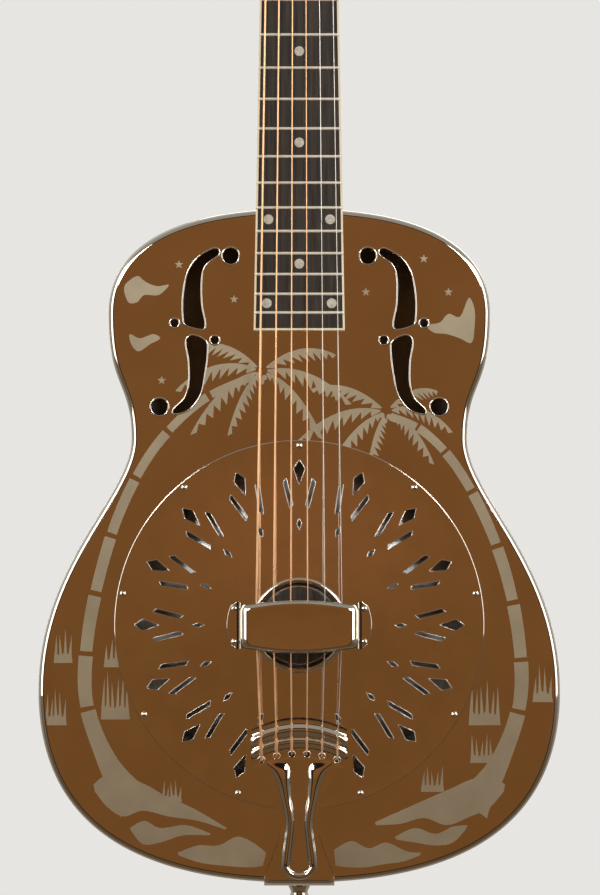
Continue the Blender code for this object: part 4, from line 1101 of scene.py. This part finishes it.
def fret_z(n):
    return -SCALE_LENGTH * (1 - 2 ** (-n / 12))


def dot_z(n):
    return (fret_z(n) + fret_z(n - 1)) / 2


fret_parts = []
for n in range(1, 20):
    z, w = fret_z(n), board_half(fret_z(n)) - 0.25
    left = [(-w, 0.85), (-w + 0.35, 0.3), (-w + 0.9, 0.06), (-w + 1.6, 0)]
    rings = []
    for x, drop in left + [(-x, drop) for x, drop in left[::-1]]:
        high = max(0.05, 1.05 - drop)
        bow = [(high * math.sin(math.pi * i / 8), 0.9 * math.cos(math.pi * i / 8)) for i in range(9)]
        rings.append([Vector((x, -0.02 - up, z + off)) for up, off in [(0, -0.95), (0, 0.95)] + bow])
    fret_parts.append(loft(rings))
piece("frets", joined(fret_parts), FRET, place=NECK, angle=40)
dots, side_dots = [], []
for n in DOT_FRETS:
    z, edge = dot_z(n), -board_half(dot_z(n))
    for x in {15: (-21.2, 21.2), 19: (-22.3, 22.3)}.get(n, (0,)):
        levels = ((3.35, 0.6), (3.35, -0.02), (3.25, -0.05))
        dots.append(loft([[local(a, b, y) for a, b in circle(r, 40, 0, x, z)] for r, y in levels]))
    for off in (-2.4, 2.4) if n == 12 else (0,):
        side_dots.append(tube([(edge - 0.03, 2.6, z + off), (edge + 0.6, 2.6, z + off)], 1.0, 20))
piece("fingerboard_dots", joined(dots), PEARL, place=NECK, angle=30)
piece("side_dots", joined(side_dots), BLACK, place=NECK, angle=30)


def string_side(i):
    """The side of the headstock that a string goes to, and its roller's place counted from the nut."""
    return (-1, i) if i < 3 else (1, 5 - i)


def over_nut(i):
    """Where a string crosses the nut, in the neck's frame."""
    return Vector(((i - 2.5) * NUT_PITCH, -NUT_ACTION - STRING_RADII[i], 0))


def coil(i, steps=24):
    """The path of a string's winding on its roller, in the headstock's frame."""
    side, place = string_side(i)
    r = STRING_RADII[i]
    radius = (ROLLER_RADIUS + 0.15 + r) / math.cos(math.pi / 9)
    centre = Vector((ROLLER_Y, ROLLER_Z[place]))
    reach = (HEAD.inverted() @ NECK @ over_nut(i)).yz - centre
    first = math.atan2(reach.y, -reach.x) + math.acos(radius / reach.length)
    x, pitch = side * COIL_X[place], 2 * r + 0.25
    path = []
    for step in range(int(22 * steps / 9) + 1):
        turn = first + 2 * math.pi * step / steps
        y, z = centre.x - radius * math.cos(turn), centre.y + radius * math.sin(turn)
        path.append(Vector((x - side * pitch * step / steps, y, z)))
    return path


half = NUT_WIDTH / 2
section = [(0.3, BOARD_THICK), (0.3 + NUT_DEPTH, BOARD_THICK), (0.3 + NUT_DEPTH, -0.4), (4.2, -1.2),
           (3.0, -2.0), (1.6, -2.4), (0.3, -2.4)]
block = prism(section, -half, half, lambda z, y, x: Vector((x, y, z)))
nut = piece("nut_bone", block, BONE, ["nut"], place=NECK)
grooves = []
for i, r in enumerate(STRING_RADII):
    toward = (NECK.inverted() @ HEAD @ coil(i)[0] - over_nut(i)).normalized()
    wide = r + 0.25
    ring = [Vector((u, v, 0)) for u, v in ((-wide, wide), (wide, wide), (wide, -4.5), (-wide, -4.5))]
    grooves.append(loft([[over_nut(i) + toward * reach + p for p in ring] for reach in (-2, 9)]))
carve(nut, joined(grooves), place=NECK)


# ---------------------------------------------------------------- strings


saddle_high = BOARD_HIGH + (SCALE_LENGTH - BODY_START) * math.sin(NECK_TILT)
saddle_high += SADDLE_ACTION * math.cos(NECK_TILT)
wraps = []
for i, r in enumerate(STRING_RADII):
    x, hole = TAIL_HOLES[i]
    ends = [front(x, hole + 0.5, 7.0)]
    for off, high in ((0.35, -0.9), (-0.4, 0.4), (-2.0, 1.5), (-4.0, 2.35)):
        ends.append(front(x, hole + off, TAIL_HIGH + r + high))
    saddle = front((i - 2.5) * SADDLE_PITCH, CENTRE, saddle_high + r)
    nut_top = NECK @ over_nut(i)
    path = ends + [ends[-1].lerp(saddle, t) for t in (0.25, 0.5, 0.75)] + [saddle]
    path += [saddle.lerp(nut_top, t) for t in (0.2, 0.4, 0.6, 0.8)] + [nut_top] + [HEAD @ p for p in coil(i)]
    paint = BRONZE if i < 4 else PLAIN
    piece(f"string_wire_{6 - i}", tube(path, r), paint, [f"string_{6 - i}"], angle=60)
    # The twisted end of each string, next to its ball, shows above the tailpiece's hole.
    quarters, a, b = 104, ends[3], ends[4].lerp(saddle, 0.1)
    axis = (b - a).normalized()
    side = axis.cross(Vector((1, 0, 0))).normalized()
    other = axis.cross(side)
    twist = []
    for k in range(quarters + 1):
        turn = math.pi / 2 * k
        out = (side * math.cos(turn) + other * math.sin(turn)) * (r + 0.22)
        twist.append(a.lerp(b, k / quarters) + out)
    wraps.append(tube(twist, 0.24, 5))
piece("string_end_wraps", joined(wraps), BRONZE, angle=60)


# ---------------------------------------------------------------- tuners


def wheel(x, z):
    """The worm wheel on a roller's axle, its teeth slanted to the thread's lead."""
    lean = WORM_LEAD / (2 * math.pi * WORM_PITCH) / (TEETH * MODULE / 2)
    flank = ((WHEEL_ROOT, 0.74), (5.2, 0.52), (WHEEL_TIP, 0.24))
    tooth = flank + tuple((r, -half) for r, half in flank[::-1])
    rings = []
    for share in (-0.5, -0.25, 0, 0.25, 0.5):
        off = share * WHEEL_WIDTH
        ring = []
        for i in range(TEETH):
            middle = 2 * math.pi * (i + 0.5) / TEETH + off * lean
            for r, half in tooth:
                a = middle - half / r
                ring.append(Vector((x + off, ROLLER_Y + r * math.sin(a), z - r * math.cos(a))))
        rings.append(ring)
    return loft(rings)


def thread(x, z, steps=24):
    """The worm's thread, three turns long."""
    section = ((1.4, -0.8), (2.3, -0.5), (WORM_TIP, -0.2), (WORM_TIP, 0.2), (2.3, 0.5), (1.4, 0.8))
    rings = []
    for i in range(-36, 37):
        turn, y = 2 * math.pi * i / steps, ROLLER_Y + WORM_LEAD * i / steps
        ring = [(x + r * math.sin(turn), y + off, z + r * math.cos(turn)) for r, off in section]
        rings.append([Vector(point) for point in ring])
    return loft(rings)


plate_side = [(14, 143), (13.4, 145), (11.6, 146), (3.4, 146), (1.6, 145), (1, 143)]
plate_loop = [(y, 190 - z) for y, z in plate_side[::-1]] + plate_side
for side, name in SIDES:
    inner, outer = HEAD_HALF + 0.3, HEAD_HALF + 1.7
    x = sorted((side * inner, side * outer))
    plate = prism(plate_loop, *x, lambda y, z, w: Vector((w, y, z)))
    metal = piece(f"tuner_plate_{name}_metal", plate, BRIGHT, [f"tuner_plate_{name}"], place=HEAD, angle=30)
    lug = [(outer - 0.7, -3.8), (45.2, -3.8), (46.6, -2.6), (47.2, 0)]
    lug += [(reach, -off) for reach, off in lug[-2::-1]]
    axles, shafts = [], []
    for z in ROLLER_Z:
        low = z - GEAR_DROP
        for y in ((1.2, 2.6), (12.4, 13.8)):
            outline = [(side * reach, low + off) for reach, off in lug]
            carve(metal, prism(outline, *y, local), "UNION", HEAD)
        axles.append(tube([(side * 36, ROLLER_Y, z), (side * 41, ROLLER_Y, z)], 2.5, 20))
        shafts.append(tube([(side * GEAR_X, -2, low), (side * GEAR_X, 18, low)], 1.8, 20))
    carve(metal, joined(axles + shafts), place=HEAD)
    bevelled(metal, 0.2, 50)
    dome = [(1.9 * math.sin(a), outer + math.cos(a)) for a in (0.08, 0.4, 0.75, 1.1, 1.45)]
    dome.append((1.9, outer - 0.2))
    heads = []
    for z in PLATE_SCREW_Z:
        rings = turned_along(dome, lambda u, v, reach: Vector((side * reach, ROLLER_Y + u, z + v)), 20)
        heads.append(loft(rings))
    piece(f"tuner_plate_{name}_screws", joined(heads), BRIGHT, place=HEAD, angle=50)

AXLE = [(3.4, 6.4), (3.9, 6.6), (ROLLER_RADIUS, 7.2), (ROLLER_RADIUS, 10.4), (ROLLER_RADIUS - 0.35, 10.8),
        (ROLLER_RADIUS - 0.35, 24.2), (ROLLER_RADIUS, 24.6), (ROLLER_RADIUS, HEAD_HALF - 0.2),
        (2.2, HEAD_HALF - 0.1), (2.2, GEAR_X + 1.8), (1.9, GEAR_X + 2.1), (1.5, GEAR_X + 2.2)]
SHAFT = [(1.3, 0.3), (1.5, 0.5), (1.5, 2.9), (WORM_CORE, 2.95), (WORM_CORE, 12.05), (1.5, 12.1),
         (1.5, 16.8), (2.1, 17.2), (2.3, 18.4), (2.1, 19.4), (2.8, 19.8), (3.2, 21.0), (2.6, 21.9)]
BUTTON = ((22.4, 2.6, 3.9), (23.2, 3.5, 6.0), (24.6, 4.1, 7.4), (26.4, 4.45, 8.25), (28.4, 4.5, 8.4),
          (30.4, 4.25, 7.8), (32.2, 3.6, 6.6), (33.4, 2.7, 5.0), (34.0, 1.4, 2.8))
for i in range(6):
    side, place = string_side(i)
    z, x = ROLLER_Z[place], side * GEAR_X
    low = z - GEAR_DROP
    rings = turned_along(AXLE, lambda u, v, reach: Vector((side * reach, ROLLER_Y + u, z + v)), 32)
    body = f"string_roller_{6 - i}"
    roller = piece(f"roller_{6 - i}", loft(rings), STEEL, [body], body, place=HEAD, angle=40)
    carve(roller, wheel(x, z), "UNION", HEAD)
    crease(roller.data, 28)
    rings = turned_along(SHAFT, lambda u, v, y: Vector((x + u, y, low + v)), 28)
    for y, wide, tall in BUTTON:
        rings.append([Vector((x + u, y, low + v)) for u, v in superellipse(wide, tall, 2.4)])
    body = f"tuner_key_{6 - i}"
    key = piece(f"key_{6 - i}", loft(rings), BRIGHT, [body], body, place=HEAD, angle=50)
    carve(key, thread(x, low), "UNION", HEAD)
    crease(key.data, 45)


# ---------------------------------------------------------------- studio


WARM, PALE = (1.0, 0.97, 0.92), (0.80, 0.785, 0.76)
LIT_POINT = Vector((0, 0, -0.55))
for light_name, place, size, power, colour in (
    ("softbox_left", (-2.3, -1.3, 0.15), (1.5, 2.2), 27, WARM),
    ("softbox_right", (2.3, -1.3, 0.15), (1.5, 2.2), 27, WARM),
    ("softbox_back", (0.6, 2.6, 0.9), (2.2, 1.6), 30, (1.0, 0.98, 0.96)),
    ("lamp_left", (-1.0, -1.85, 0.30), (0.55, 0.55), 13, (1.0, 0.97, 0.93)),
    ("lamp_right", (1.0, -1.85, 0.30), (0.55, 0.55), 13, (1.0, 0.97, 0.93)),
):
    data = bpy.data.lights.new(light_name, "AREA")
    data.shape, data.size, data.size_y = "RECTANGLE", *size
    data.energy, data.color = power, colour
    lamp = bpy.data.objects.new(light_name, data)
    bpy.context.scene.collection.objects.link(lamp)
    lamp.location = place
    lamp.rotation_euler = (LIT_POINT - Vector(place)).to_track_quat("-Z", "Y").to_euler()
    lamp.visible_camera = False

world = bpy.data.worlds.new("studio")
bpy.context.scene.world = world
world.use_nodes = True
sky = Nodes(world.node_tree)
sky.tree.nodes.clear()
direction = sky.node("ShaderNodeTexCoord").outputs["Generated"]
parts = sky.node("ShaderNodeSeparateXYZ", {"Vector": direction}).outputs


def rise(axis, start, end):
    """From 0 to 1 as one axis of the direction goes from start to end."""
    return sky.spread(parts[axis], 0, 1, start, end, interpolation_type="SMOOTHSTEP")


# Straight ahead of the guitar the room is brown, with a dark ring round it, and grey beyond.
brown = sky.mix(rise("Z", -0.16, 0.16), (0.195, 0.084, 0.024), (0.250, 0.103, 0.032))
behind = rise("Y", -0.15, 0.35)
low_tone = sky.mix(behind, (0.13, 0.088, 0.052), (0.30, 0.26, 0.21))
high_tone = sky.mix(behind, (0.36, 0.34, 0.30), (0.60, 0.58, 0.54))
grey = sky.mix(rise("Z", -0.5, 0.6), low_tone, high_tone)
ringed = sky.mix(rise("Y", -0.86, -0.74), (0.012, 0.009, 0.006), grey)
room = sky.mix(rise("Y", -0.90, -0.94), ringed, brown)
seen = sky.mix(sky.node("ShaderNodeLightPath").outputs["Is Camera Ray"], room, PALE)
glow = sky.node("ShaderNodeBackground", {"Color": seen, "Strength": 1.0}).outputs[0]
sky.tree.links.new(glow, sky.node("ShaderNodeOutputWorld").inputs["Surface"])

floor_mesh = bpy.data.meshes.new("floor")
floor_mesh.from_pydata([(x, y, -0.95) for x, y in circle(0.9, 96)], [], [tuple(range(96))])
floor = bpy.data.objects.new("floor", floor_mesh)
bpy.context.scene.collection.objects.link(floor)
paint = Paint("pale_floor", Roughness=0.7)
tone = paint.ramp(paint.noise(3, 4), (0.3, (0.74, 0.725, 0.70)), (0.7, PALE))
paint.tree.links.new(tone, paint.shader.inputs["Base Color"])
floor_mesh.materials.append(paint.made)
floor.visible_glossy = False

camera_data = bpy.data.cameras.new("camera")
camera_data.sensor_width, camera_data.lens = 24.0, 101.0
camera = bpy.data.objects.new("camera", camera_data)
bpy.context.scene.collection.objects.link(camera)
camera.location = (0.0005, -2.62, -0.5243)
camera.rotation_euler = (math.pi / 2, 0, 0)
bpy.context.scene.camera = camera
bpy.context.scene.view_settings.view_transform = "Standard"
